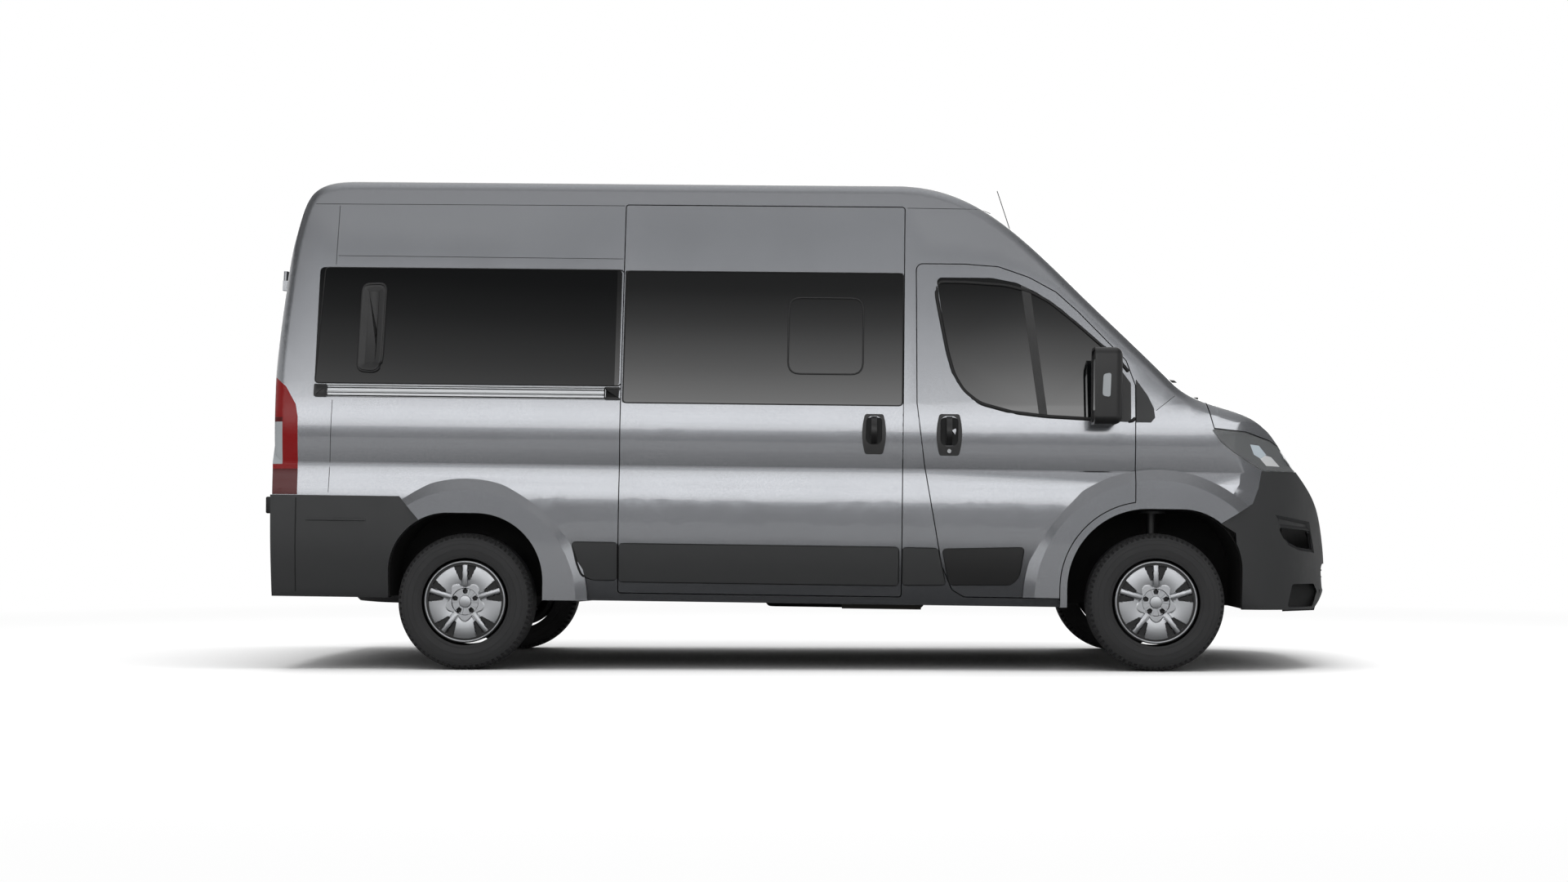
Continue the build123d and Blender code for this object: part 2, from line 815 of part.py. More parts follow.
# ---------------------------------------------------------------- rear bumper and lamps
bumper_room = right_of(rear_bumper_shape)
bumper_side = ((trim_face - door_back) & bumper_room) - rear_arch_hole - along(
    end_shape(
        [
            (-rear_door_half - shut_gap, step_z),
            (0, step_z),
            (0, roof_z),
            (-rear_door_half - shut_gap, roof_z),
        ]
    )
)
hinge_slot = Location((hinge_x + 45, -hinge_y - 14, lower_hinge_z - 25)) * Box(150, 34, 62)
with BuildPart() as rear_bumper:
    add(bumper_side)
    mirror(about=Plane.XZ)
    with BuildSketch(Plane.XY.offset(sill_z + 6)):
        with Locations((tail_x + 35, 0)):
            Rectangle(80, 2 * centre_clear + 20)
    extrude(amount=step_z - sill_z - 6)
    add(hinge_slot, mode=Mode.SUBTRACT)
    add(mirror(hinge_slot, about=Plane.XZ, mode=Mode.PRIVATE), mode=Mode.SUBTRACT)
tail_lamp = tail_lamp_block & door_shell

# ---------------------------------------------------------------- floor, wheel housings and underframe
floor_block = Location((0, 0, floor_z - floor_thickness / 2)) * Box(
    2 * length, 2 * half_width, floor_thickness
)
floor_room = cavity & floor_block
rear_housing = Location((0, -rear_housing_in, 0)) * extrude(rear_arch(), half_width)
front_housing = Location((0, -front_housing_in, 0)) * extrude(front_arch(), half_width)
housings = [rear_housing, front_housing]
with BuildPart() as floor:
    add(floor_room)
    with BuildSketch(Plane.XY.offset(floor_z - 100)):
        with Locations((firewall_x + 500, 0)):
            Rectangle(1000, 3 * half_width)
    extrude(amount=200, mode=Mode.SUBTRACT)
    for housing in housings + [mirror(h, about=Plane.XZ, mode=Mode.PRIVATE) for h in housings]:
        add(housing, mode=Mode.SUBTRACT)


def liner(shape, hollow, inner_y, outer_y):
    """The inner shell of one wheel arch, closed towards the centre of the van"""
    with BuildPart() as shell_part:
        with BuildSketch(Plane.XZ.offset(inner_y)):
            add(shape)
        extrude(amount=outer_y - inner_y)
        with BuildSketch(Plane.XZ.offset(inner_y + liner_thickness)):
            add(hollow)
        extrude(amount=outer_y - inner_y, mode=Mode.SUBTRACT)
        split(bisect_by=Plane.XY.offset(sill_z + 6), keep=Keep.TOP)
    return shell_part.part


front_liner = liner(front_arch(), front_arch(-liner_thickness), front_housing_in, half_width - 28)
rear_liner = liner(rear_arch(), rear_arch(-liner_thickness), rear_housing_in, half_width - 28)
beam_notch = Location((rear_hub_x, -rear_housing_in, rear_hub_z)) * Box(110, 60, 100)
rear_liner = rear_liner - beam_notch
wheel_housings = [
    front_liner, rear_liner, mirror(front_liner, about=Plane.XZ), mirror(rear_liner, about=Plane.XZ)
]

rail_top = floor_z - floor_thickness
rail_centre = 430
member_room = cavity & (Location((0, 0, rail_top - 40)) * Box(2 * length, 2 * half_width, 80))
rear_frame_front = rail_rear + 420


def ladder(rear, front, crossings):
    """Two chassis rails between two places along the van, and the members that cross them"""
    with BuildPart() as rails:
        with BuildSketch(Plane.XY.offset(rail_top - 100)):
            with Locations(((front + rear) / 2, rail_centre), ((front + rear) / 2, -rail_centre)):
                Rectangle(front - rear, 60)
        extrude(amount=100)
        for x in crossings:
            member = member_room & (Location((x, 0, 0)) * Box(80, 3 * half_width, 3000, mode=Mode.PRIVATE))
            add(member)
    return rails.part


front_crossings = (rear_hub_x + 470, rear_hub_x + 1400, front_hub_x - 1050, front_hub_x - 520)
underframe = ladder(rear_frame_front, rail_front, front_crossings)
rear_frame = ladder(rail_rear, rear_frame_front, [rail_rear + 60])

# ---------------------------------------------------------------- wheels and tyres
rim_half = 84
rim_drop = 24            # depth of the rim's well below the bead seats
rim_wall = 6
flange_height = 15
hub_radius = 46
spindle_radius = 25
spindle_clear = 0.1
disc_radius = 140
disc_inset = 60          # from the wheel's centre plane in to the far face of the brake disc
disc_thickness = 24
face_offset = 46         # from the wheel's centre plane out to the inside of the wheel's face
cover_dish = 16
windows = 10


def facing(hub_x, centre_y, hub_z):
    """The plane through a wheel's centre, its z axis pointing out of the van"""
    side = 1 if centre_y > 0 else -1
    return Plane(origin=(hub_x, centre_y, hub_z), x_dir=(1, 0, 0), z_dir=(0, side, 0))


def make_tyre():
    """A tyre standing about the z axis, with flat tread, chamfered shoulders and sloping walls"""
    half = tyre_width / 2
    wall = [(tyre_radius, half - 20), (tyre_radius - 15, half - 5), (tyre_radius - 70, half)]
    wall += [(rim_radius + flange_height, rim_half), (rim_radius, rim_half)]
    with BuildPart() as body:
        with BuildSketch(Plane.XZ):
            Polygon(*wall, *[(radius, -height) for radius, height in reversed(wall)], align=None)
        revolve(axis=Axis.Z)
    return body.part


def make_wheel():
    """Rim, face with its round windows, hub and brake disc, turned about the z axis, outside up"""
    well = rim_radius - rim_drop
    seat = rim_half - 30
    with BuildPart() as body:
        with BuildSketch(Plane.XZ):
            Polygon(
                (rim_radius, -rim_half),
                (rim_radius + flange_height, -rim_half),
                (rim_radius + flange_height, -rim_half - rim_wall),
                (rim_radius - rim_wall, -rim_half - rim_wall),
                (rim_radius - rim_wall, -seat),
                (well - rim_wall, -seat + rim_drop),
                (well - rim_wall, seat - rim_drop),
                (rim_radius - rim_wall, seat),
                (rim_radius - rim_wall, rim_half + rim_wall),
                (rim_radius + flange_height, rim_half + rim_wall),
                (rim_radius + flange_height, rim_half),
                (rim_radius, rim_half),
                (rim_radius, seat),
                (well, seat - rim_drop),
                (well, -seat + rim_drop),
                (rim_radius, -seat),
                align=None,
            )
        revolve(axis=Axis.Z)
        with BuildSketch(Plane.XZ):
            with BuildLine():
                Line((0, face_offset), (hub_radius, face_offset))
                Line((hub_radius, face_offset), (well, face_offset - 8))
                Line((well, face_offset - 8), (rim_radius - rim_wall + 1, seat))
                Line((rim_radius - rim_wall + 1, seat), (rim_radius - rim_wall + 1, rim_half - 4))
                rise = Spline(
                    (rim_radius - rim_wall + 1, rim_half - 4),
                    (well - 10, face_offset + cover_dish + 14),
                    (hub_radius + 34, face_offset + cover_dish),
                    (hub_radius - 12, face_offset + cover_dish + 6),
                    (0, face_offset + cover_dish + 10),
                    tangents=[(-1, -0.1), (-1, 0)],
                )
                Line(rise @ 1, (0, face_offset))
            make_face()
        revolve(axis=Axis.Z)
        with BuildSketch(Plane.XY.offset(face_offset - 30)):
            with PolarLocations(0.5 * (hub_radius + well) + 14, windows, start_angle=18):
                SlotOverall(62, 26)
        extrude(amount=rim_half, mode=Mode.SUBTRACT)
        with BuildSketch(Plane.XY.offset(-disc_inset)):
            Circle(disc_radius)
        extrude(amount=disc_thickness)
        with BuildSketch(Plane.XY.offset(-disc_inset)):
            Circle(hub_radius)
        extrude(amount=disc_inset + face_offset)
        with BuildSketch(Plane.XY.offset(-disc_inset)):
            Circle(spindle_radius + spindle_clear)
        extrude(amount=disc_inset + face_offset - 10, mode=Mode.SUBTRACT)
    return body.part


tyre = make_tyre()
wheel = make_wheel()
corners = {
    "front_right": facing(front_hub_x, -front_track / 2, front_hub_z),
    "front_left": facing(front_hub_x, front_track / 2, front_hub_z),
    "rear_right": facing(rear_hub_x, -rear_track / 2, rear_hub_z),
    "rear_left": facing(rear_hub_x, rear_track / 2, rear_hub_z),
}

# ---------------------------------------------------------------- steering knuckles, arms and rear axle
kingpin_y = 800
strut_y = 765
strut_radius = 25
ball_z = front_hub_z - 129
crown_inside = front_hub_z + 464 - liner_thickness - 4
disc_in_y = front_track / 2 - disc_inset

with BuildPart() as knuckle_right:
    with BuildSketch(Plane.XZ.offset(kingpin_y - 15)):
        with Locations((front_hub_x, (ball_z + front_hub_z + 116) / 2)):
            RectangleRounded(90, front_hub_z + 116 - ball_z, 20)
    extrude(amount=40)
    with BuildSketch(Plane.XZ.offset(strut_y - 30)):
        with Locations((front_hub_x, front_hub_z + 76)):
            Rectangle(64, 80)
    extrude(amount=60)
    with BuildSketch(Plane.XY.offset(front_hub_z + 60)):
        with Locations((front_hub_x, -strut_y)):
            Circle(strut_radius)
    extrude(amount=crown_inside - front_hub_z - 65)
    with BuildSketch(Plane.XY.offset(crown_inside - seat_gap - 12)):
        with Locations((front_hub_x, -kingpin_y)):
            Circle(66)
    extrude(amount=12)
    with BuildSketch(Plane.XZ.offset(kingpin_y)):
        with Locations((front_hub_x, front_hub_z)):
            Circle(spindle_radius)
    extrude(amount=front_track / 2 + face_offset - 12 - kingpin_y)
    with BuildSketch(Plane.XZ.offset(kingpin_y - 5)):
        with Locations((front_hub_x - 96, front_hub_z + 20)):
            RectangleRounded(110, 120, 18)
    extrude(amount=disc_in_y - 8 - kingpin_y + 5)

arm_thickness = 22
with BuildPart() as lower_arm:
    with BuildSketch(Plane.XY.offset(ball_z - seat_gap - arm_thickness)):
        Polygon(
            (front_hub_x - 150, -rail_centre),
            (front_hub_x + 150, -rail_centre),
            (front_hub_x + 60, -690),
            (front_hub_x + 30, -kingpin_y),
            (front_hub_x - 30, -kingpin_y),
            (front_hub_x - 60, -690),
            align=None,
        )
        with Locations((front_hub_x, -kingpin_y)):
            Circle(30)
    extrude(amount=arm_thickness)
    mirror(about=Plane.XZ)
    with BuildSketch(Plane.XY.offset(ball_z - seat_gap - arm_thickness)):
        with Locations((front_hub_x, 0)):
            Rectangle(320, 2 * rail_centre + 60)
    extrude(amount=60)
    with BuildSketch(Plane.XY.offset(ball_z)):
        with Locations((front_hub_x, rail_centre), (front_hub_x, -rail_centre)):
            Rectangle(180, 60)
    extrude(amount=rail_top - 100 - ball_z)

beam_radius = 35
spring_y = 495
spring_front = rear_hub_x + 650
spring_rear = rear_hub_x - 660
spring_eye_z = rail_top - 85
spring_low = rear_hub_z + beam_radius - 4
with BuildPart() as rear_axle_part:
    with BuildSketch(Plane.XZ.offset(-rear_track / 2 + disc_inset + 12)):
        with Locations((rear_hub_x, rear_hub_z)):
            Circle(beam_radius)
    extrude(amount=rear_track - 2 * disc_inset - 24)
    with BuildSketch(Plane.XZ.offset(-rear_track / 2 - face_offset + 12)):
        with Locations((rear_hub_x, rear_hub_z)):
            Circle(spindle_radius)
    extrude(amount=rear_track + 2 * face_offset - 24)
    with BuildSketch(Plane.XZ.offset(spring_y - 30)):
        with BuildLine():
            low = ThreePointArc(
                (spring_rear, spring_eye_z), (rear_hub_x, spring_low), (spring_front, spring_eye_z)
            )
            high = ThreePointArc(
                (spring_rear, spring_eye_z + 18), (rear_hub_x, spring_low + 40), (
                    spring_front, spring_eye_z + 18
                )
            )
            Line(low @ 0, high @ 0)
            Line(low @ 1, high @ 1)
        make_face()
    extrude(amount=60)
    for eye_x in (spring_front, spring_rear):
        with BuildSketch(Plane.XZ.offset(rail_centre + 30)):
            with Locations((eye_x, spring_eye_z + 20)):
                RectangleRounded(80, 70, 15)
        extrude(amount=spring_y - rail_centre)
    mirror(about=Plane.XZ)

# ---------------------------------------------------- engine, radiator carrier, tank, exhaust, spare wheel
engine_rear = firewall_x + 60
engine_front = engine_rear + 450
with BuildPart() as engine_block:
    with BuildSketch(Plane.XY.offset(rail_top - 60)):
        with Locations(((engine_rear + engine_front) / 2, 0)):
            RectangleRounded(engine_front - engine_rear, 600, 30)
    extrude(amount=560)
    with BuildSketch(Plane.XY.offset(rail_top - 55)):
        with Locations(((engine_rear + engine_front) / 2, 0)):
            Rectangle(80, 2 * (rail_centre - 30))
    extrude(amount=50)

carrier_x = rail_front - 60
carrier_top = crease_z - 30
with BuildPart() as carrier_frame:
    with BuildSketch(Plane.YZ.offset(carrier_x)):
        with Locations((0, (carrier_top + rail_top) / 2)):
            Rectangle(2 * rail_centre + 60, carrier_top - rail_top)
        with Locations((0, (carrier_top + rail_top) / 2)):
            Rectangle(2 * rail_centre - 60, carrier_top - rail_top - 80, mode=Mode.SUBTRACT)
    extrude(amount=50)
    with BuildSketch(Plane.YZ.offset(carrier_x + 10)):
        with Locations((0, (carrier_top + rail_top) / 2)):
            Rectangle(2 * rail_centre - 60, carrier_top - rail_top - 80)
    extrude(amount=30)

skin_seat = hull(
    side=skin_thickness + seat_gap,
    top=skin_thickness + seat_gap,
    nose=skin_thickness + seat_gap,
    rear=skin_thickness + seat_gap,
    drop=20,
)
with BuildPart() as stop_posts:
    with BuildSketch(Plane.XY.offset(carrier_top - 5)):
        with Locations((carrier_x + 25, rail_centre - 80), (carrier_x + 25, 80 - rail_centre)):
            Circle(18)
    extrude(amount=300)
bump_stops = stop_posts.part & skin_seat
radiator_carrier = carrier_frame.part + bump_stops

tank_rear = rear_hub_x + 1440
tank_front = front_hub_x - 1090
with BuildPart() as fuel_tank:
    with BuildSketch(Plane.XY.offset(rail_top - 225)):
        with Locations(((tank_rear + tank_front) / 2, 160)):
            RectangleRounded(tank_front - tank_rear - 60, 440, 60)
    extrude(amount=200)
    fillet(fuel_tank.faces().sort_by(Axis.Z)[0].edges(), 30)
    with BuildSketch(Plane.XY.offset(rail_top - 26)):
        with Locations(((tank_rear + tank_front) / 2, 160)):
            Rectangle(tank_front - tank_rear - 240, 300)
    extrude(amount=26)

pipe_radius = 27
pipe_y = -230
pipe_z = rail_top - 145
muffler_x = 400
with BuildPart() as exhaust:
    with BuildLine():
        route = FilletPolyline(
            (engine_rear + 100, pipe_y, rail_top - 60 - pipe_radius),
            (engine_rear - 60, pipe_y, pipe_z),
            (rear_hub_x + 800, pipe_y, pipe_z),
            (rear_hub_x + 560, -half_width + 140, pipe_z - 10),
            radius=60,
        )
    with BuildSketch(Plane(origin=route @ 0, z_dir=route % 0)):
        Circle(pipe_radius)
    sweep()
    with BuildSketch(Plane.YZ.offset(muffler_x - 210)):
        with Locations((pipe_y, pipe_z)):
            Ellipse(105, 78)
    extrude(amount=420)
    with BuildSketch(Plane.XY.offset(pipe_z)):
        with Locations(
            (rear_hub_x + 1400, pipe_y), (front_hub_x - 520, pipe_y), (front_hub_x - 1050, pipe_y)
        ):
            Circle(6)
    extrude(amount=rail_top - 80 - pipe_z)

spare_x = rear_hub_x - 415
spare_plane = Plane(origin=(spare_x, 0, rail_top - 10 - tyre_width / 2), z_dir=(0, 0, 1))
with BuildPart() as spare_wheel:
    add(spare_plane * tyre)
    with BuildSketch(spare_plane.offset(-tyre_width / 2 + 20)):
        Circle(rim_radius + 1)
    extrude(amount=tyre_width / 2 - 20)
    with BuildSketch(spare_plane):
        Circle(20)
    extrude(amount=tyre_width / 2 + 10)

# ---------------------------------------------------------------- cabin: dashboard, steering wheel and seats
dash_half = 868
steer_y = 450
steer_axis = Vector(-0.574, 0, 0.819)
steer_centre = Vector(front_hub_x - 194, steer_y, waist_z + 88)
steer_plane = Plane(origin=steer_centre, x_dir=(0, 1, 0), z_dir=steer_axis)
column_end = 40          # from the wheel's centre plane down to the end of the column
with BuildPart() as dashboard:
    with BuildSketch(Plane.XZ):
        Polygon(
            (firewall_x, floor_z + 380),
            (firewall_x, waist_z + 20),
            (firewall_x - 180, waist_z + 36),
            (firewall_x - 270, waist_z + 10),
            (firewall_x - 320, waist_z - 60),
            (firewall_x - 330, waist_z - 170),
            (firewall_x - 250, floor_z + 440),
            align=None,
        )
    extrude(amount=dash_half, both=True)
    with BuildSketch(steer_plane.offset(-column_end)):
        Circle(38)
    extrude(amount=-190)

rim_centre = 185
rim_plane = Plane(origin=steer_centre + Vector(0, rim_centre, 0), x_dir=steer_axis, z_dir=steer_plane.y_dir)
with BuildPart() as steering_wheel:
    with BuildSketch(rim_plane):
        Circle(15)
    revolve(axis=Axis(steer_centre, steer_axis))
    with BuildSketch(steer_plane.offset(-column_end + seat_gap)):
        Circle(34)
    extrude(amount=column_end - 12)
    with BuildSketch(steer_plane.offset(-26)):
        Circle(72)
    extrude(amount=30)
    with BuildSketch(steer_plane.offset(-14)):
        with PolarLocations(0, 3, start_angle=90):
            with Locations((rim_centre / 2, 0)):
                Rectangle(rim_centre, 42)
    extrude(amount=12)

seat_low = floor_z + 365
cushion = 110
back_rake = 14


def make_seat(front_x, centre_y, width, places):
    """One seat or bench: base, cushion, leaning back and a headrest for each place"""
    back_plane = Plane(
        origin=(front_x - 480, centre_y, seat_low + 30),
        x_dir=(0, 1, 0),
        z_dir=(-sin(radians(back_rake)), 0, cos(radians(back_rake))),
    )
    pitch = width / places
    with BuildPart() as seat:
        with BuildSketch(Plane.XY.offset(floor_z)):
            with Locations((front_x - 250, centre_y)):
                Rectangle(380, width - 60)
        extrude(amount=seat_low - floor_z)
        with BuildSketch(Plane.XY.offset(seat_low)):
            with Locations((front_x - 255, centre_y)):
                RectangleRounded(510, width, 60)
        extrude(amount=cushion)
        fillet(seat.faces().sort_by(Axis.Z)[-1].edges(), 30)
        with BuildSketch(back_plane):
            RectangleRounded(width, 120, 50)
        extrude(amount=700)
        with BuildSketch(back_plane.offset(690)):
            with Locations(*[(pitch * (place - (places - 1) / 2), 0) for place in range(places)]):
                RectangleRounded(250, 90, 35)
        extrude(amount=190)
    return seat.part


driver_seat = make_seat(front_hub_x - 424, steer_y, 500, 1)
passenger_seat = make_seat(front_hub_x - 424, -390, 900, 2)
crew_bench = make_seat(front_hub_x - 1324, 60, 1320, 3)

# ---------------------------------------------------------------- outside trim on the flanks
trim_shell = trim_face - outer
rail_shape = side_shape(
    [
        (tail_x + 280, waist_z),
        (slide_rear - 77, waist_z),
        (slide_rear - 77, waist_z + 63),
        (tail_x + 280, waist_z + 63),
    ], 6
)
rear_strip = side_shape(
    [
        (rear_hub_x + 395 + 143, sill_z + 290),
        (slide_rear - 8, sill_z + 289),
        (slide_rear - 8, sill_z + 106),
        (rear_hub_x + 395 + 251, sill_z + 104),
        (rear_hub_x + 395 + 194, sill_z + 124),
        (rear_hub_x + 395 + 169, sill_z + 185),
    ],
    10,
)
slide_strip = side_shape(
    [
        (slide_rear + 4, sill_z + 98),
        (slide_front - 15, sill_z + 98),
        (slide_front - 15, sill_z + 285),
        (slide_rear + 4, sill_z + 285),
    ],
    10,
)
post_strip = side_shape(
    [
        (slide_front + 8, sill_z + 284),
        (front_hub_x - 1086, sill_z + 282),
        (front_hub_x - 1046, sill_z + 104),
        (slide_front + 8, sill_z + 101),
    ],
    10,
)
door_strip = side_shape(
    [
        (front_hub_x - 1060, sill_z + 279),
        (front_hub_x - 658, sill_z + 292),
        (front_hub_x - 681, sill_z + 150),
        (front_hub_x - 720, sill_z + 109),
        (front_hub_x - 1024, sill_z + 105),
    ],
    10,
)
corner_shape = side_shape(
    [
        (door_front + 5, waist_z + 130),
        (door_front + 61, waist_z + 52),
        (door_front + 92, waist_z - 13),
        (door_front + 98, waist_z - 60),
        (door_front + 79, waist_z - 83),
        (door_front + 5, waist_z - 83),
    ]
)
strip_outlines = (rear_strip, slide_strip, post_strip, corner_shape)
strips = [(trim_shell & right_of(outline)) - rear_flare for outline in strip_outlines]
door_strip_block = trim_shell & right_of(door_strip)
slide_rail = trim_shell & right_of(rail_shape)


def make_handle(low_x, low_z, high_x, high_z, grip_y):
    """A handle plate with bulging sides, dished behind an upright bowed grip"""
    middle_x = (low_x + high_x) / 2
    middle_z = (low_z + high_z) / 2
    half_plate = (high_x - low_x) / 2
    dish_low = low_z + 48
    dish_z = (dish_low + high_z - 8) / 2
    with BuildSketch(Plane.XZ) as plate_outline:
        with BuildLine():
            rear_side = ThreePointArc(
                (middle_x - half_plate + 16, low_z), (low_x, middle_z), (middle_x - half_plate + 14, high_z)
            )
            top = Line(rear_side @ 1, (middle_x + half_plate - 14, high_z))
            front_side = ThreePointArc(top @ 1, (high_x, middle_z), (middle_x + half_plate - 16, low_z))
            Line(front_side @ 1, rear_side @ 0)
        make_face()
        fillet(plate_outline.vertices(), 14)
    with BuildSketch(Plane.XZ) as dish_outline:
        with Locations((middle_x, dish_z)):
            RectangleRounded(2 * half_plate - 38, high_z - 8 - dish_low, 34)
    plate = trim_shell & (right_of(plate_outline.sketch) - right_of(dish_outline.sketch))
    with BuildPart() as grip:
        add(plate)
        with BuildSketch(Plane.YZ.offset(middle_x - 14)):
            with BuildLine():
                bow = ThreePointArc(
                    (-grip_y + 30, high_z - 4), (-grip_y - 36, dish_z), (-grip_y + 30, dish_low - 6)
                )
                foot = Line(bow @ 1, (-grip_y + 30, dish_low + 22))
                back = ThreePointArc(foot @ 1, (-grip_y - 20, dish_z), (-grip_y + 30, high_z - 32))
                Line(back @ 1, bow @ 0)
            make_face()
        extrude(amount=28)
    return grip.part - outer


handle_y = half_width - 5
slide_handle = make_handle(slide_front - 202, crease_z + 70, slide_front - 83, crease_z + 271, handle_y)
cab_handle = make_handle(front_hub_x - 1097, crease_z + 67, front_hub_x - 970, crease_z + 275, handle_y)

# mirror: a tall head on two arms from the foot in the corner of the door window
mirror_x = front_hub_x - 269
mirror_y = half_width + 147
mirror_z = waist_z + 84
with BuildPart() as mirror_head:
    with BuildSketch(Plane.YZ.offset(mirror_x - 68)):
        with Locations((-mirror_y, mirror_z)):
            RectangleRounded(194, 377, 40)
    extrude(amount=136)
    fillet(mirror_head.faces().sort_by(Axis.X)[-1].edges(), 38)
    with BuildSketch(Plane.YZ.offset(mirror_x - 68)):
        with Locations((-mirror_y, mirror_z)):
            RectangleRounded(170, 353, 30)
    extrude(amount=8, mode=Mode.SUBTRACT)
    for arm_z in (mirror_z - 60, mirror_z + 60):
        with BuildSketch(Plane.XZ.offset(half_width - 60)):
            with Locations((mirror_x + 74, arm_z)):
                Ellipse(24, 15)
        with BuildSketch(Plane.XZ.offset(mirror_y - 60)):
            with Locations((mirror_x + 20, arm_z)):
                Ellipse(24, 15)
        loft()

# ---------------------------------------------------------------- wipers on the windscreen
wiper_face = hull(side=0, top=-16, nose=-16, rear=0, drop=0)
wiper_shell = wiper_face - outer
wiper_outline = []
for base_y in (-560, 130):
    wiper_outline.append(
        end_shape(
            [
                (base_y - 120, cowl_z + 34),
                (base_y + 480, cowl_z + 84),
                (base_y + 480, cowl_z + 96),
                (base_y - 120, cowl_z + 46),
            ]
        )
    )
wipers = [
    wiper_shell & extrude(Location((nose_x - 1100, 0, 0)) * outline, 700) for outline in wiper_outline
]

# ---------------------------------------------------------------- threaded tubes for a tow bar
tow_holes = [(x, y) for x in (rail_rear + 150, rail_rear + 250) for y in (rail_centre, -rail_centre)]
with BuildPart() as rear_frame_drilled:
    add(rear_frame)
    with BuildSketch(Plane.XY.offset(rail_top - 101)):
        with Locations(*tow_holes):
            Circle(5.1)
    extrude(amount=102, mode=Mode.SUBTRACT)


# ---------------------------------------------------------------- the finished pieces
def other_side(*pieces):
    """The same pieces on the left-hand side"""
    return [mirror(piece, about=Plane.XZ) for piece in pieces]


cab_trim_right = [bar_block, foot_block + mirror_head.part, cab_handle, door_strip_block]
nodes = {
    "floor": [floor.part],
    "underframe": [underframe],
    "rear_frame": [rear_frame_drilled.part],
    "front_subframe": [lower_arm.part],
    "rear_axle": [rear_axle_part.part],
    "engine_block": [engine_block.part],
    "radiator_carrier": [radiator_carrier],
    "fuel_tank": [fuel_tank.part],
    "exhaust": [exhaust.part],
    "spare_wheel": [spare_wheel.part],
    "side_panel_right": [side_right],
    "side_panel_left": [side_left],
    "roof": [roof.part],
    "cab_front": [cab_front.part],
    "wings": [wing] + other_side(wing),
    "front_bumper": [front_bumper.part],
    "grille": [grille],
    "headlamps": [headlamp] + other_side(headlamp),
    "windscreen": [windscreen],
    "wipers": wipers,
    "side_windows": side_windows,
    "sliding_door": [sliding_door.part],
    "sliding_door_handle": [slide_handle],
    "slide_rail": [slide_rail],
    "side_mouldings": strips + other_side(*strips),
    "rear_bumper": [rear_bumper.part],
    "tail_lamps": [tail_lamp] + other_side(tail_lamp),
    "wheel_housings": wheel_housings,
    "dashboard": [dashboard.part],
    "steering_wheel": [steering_wheel.part],
    "cab_seats": [driver_seat, passenger_seat],
    "crew_bench": [crew_bench],
    "bonnet": [bonnet],
    "cab_door_right": [cab_door_right.part],
    "cab_door_left": other_side(cab_door_right.part),
    "cab_glass_right": [cab_glass_right],
    "cab_glass_left": other_side(cab_glass_right),
    "cab_trim_right": cab_trim_right,
    "cab_trim_left": other_side(*cab_trim_right),
    "rear_door_right": [rear_door_right.part],
    "rear_door_left": other_side(rear_door_right.part),
    "rear_glass_right": [rear_glass_right],
    "rear_glass_left": other_side(rear_glass_right),
    "knuckle_right": [knuckle_right.part],
    "knuckle_left": other_side(knuckle_right.part),
}
for corner, plane in corners.items():
    nodes["tyre_" + corner] = [plane * tyre]
    nodes["wheel_" + corner] = [plane * wheel]

for name, pieces in nodes.items():
    solids = [solid for piece in pieces for solid in piece.solids()]
    piece = Compound(children=solids) if len(solids) > 1 else solids[0]
    piece = piece.rotate(Axis.Y, rake)
    piece.label = name
    export_step(piece, "parts/" + name + ".step")
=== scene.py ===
import json
import math
import bmesh
import bpy
from mathutils import Matrix, Vector
from mathutils.bvhtree import BVHTree

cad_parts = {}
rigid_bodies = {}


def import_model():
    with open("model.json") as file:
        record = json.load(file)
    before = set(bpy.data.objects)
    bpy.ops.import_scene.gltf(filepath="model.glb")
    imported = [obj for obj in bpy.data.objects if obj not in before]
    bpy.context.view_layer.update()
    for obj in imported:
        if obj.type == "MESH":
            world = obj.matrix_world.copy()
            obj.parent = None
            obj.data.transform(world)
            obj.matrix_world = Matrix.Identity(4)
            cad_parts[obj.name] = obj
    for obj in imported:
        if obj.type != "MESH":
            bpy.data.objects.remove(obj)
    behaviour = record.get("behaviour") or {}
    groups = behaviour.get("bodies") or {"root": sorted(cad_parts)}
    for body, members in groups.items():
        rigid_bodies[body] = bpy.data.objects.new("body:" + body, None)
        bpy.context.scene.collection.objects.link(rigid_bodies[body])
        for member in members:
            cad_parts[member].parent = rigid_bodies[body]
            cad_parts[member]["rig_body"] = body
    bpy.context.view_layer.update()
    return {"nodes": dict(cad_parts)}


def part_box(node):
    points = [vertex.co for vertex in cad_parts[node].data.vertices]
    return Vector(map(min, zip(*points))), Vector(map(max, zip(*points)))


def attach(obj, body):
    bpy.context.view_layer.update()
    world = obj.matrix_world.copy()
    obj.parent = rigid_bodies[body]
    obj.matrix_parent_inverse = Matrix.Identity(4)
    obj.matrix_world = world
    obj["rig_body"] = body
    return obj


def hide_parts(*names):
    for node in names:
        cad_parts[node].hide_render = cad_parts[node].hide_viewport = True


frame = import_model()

nodes = frame["nodes"]

# ---------------------------------------------------------------- painted shell
# Pressed steel panels under grey metallic lacquer: a dark base coat full of aluminium flakes below a
# clear coat.  The panels are welded or hinged to each other, and what lies behind their outer skin
# is grey moulded lining.  Faces that look across a narrow gap are black: painted shade in the shut
# gaps and jambs, which are lacquered on the real van.


def linear(hex_colour):
    """The linear colour of an sRGB hex value such as 8A8D90"""
    channels = [int(hex_colour[i:i + 2], 16) / 255 for i in (0, 2, 4)]
    return [c / 12.92 if c <= 0.04045 else ((c + 0.055) / 1.055) ** 2.4 for c in channels] + [1.0]


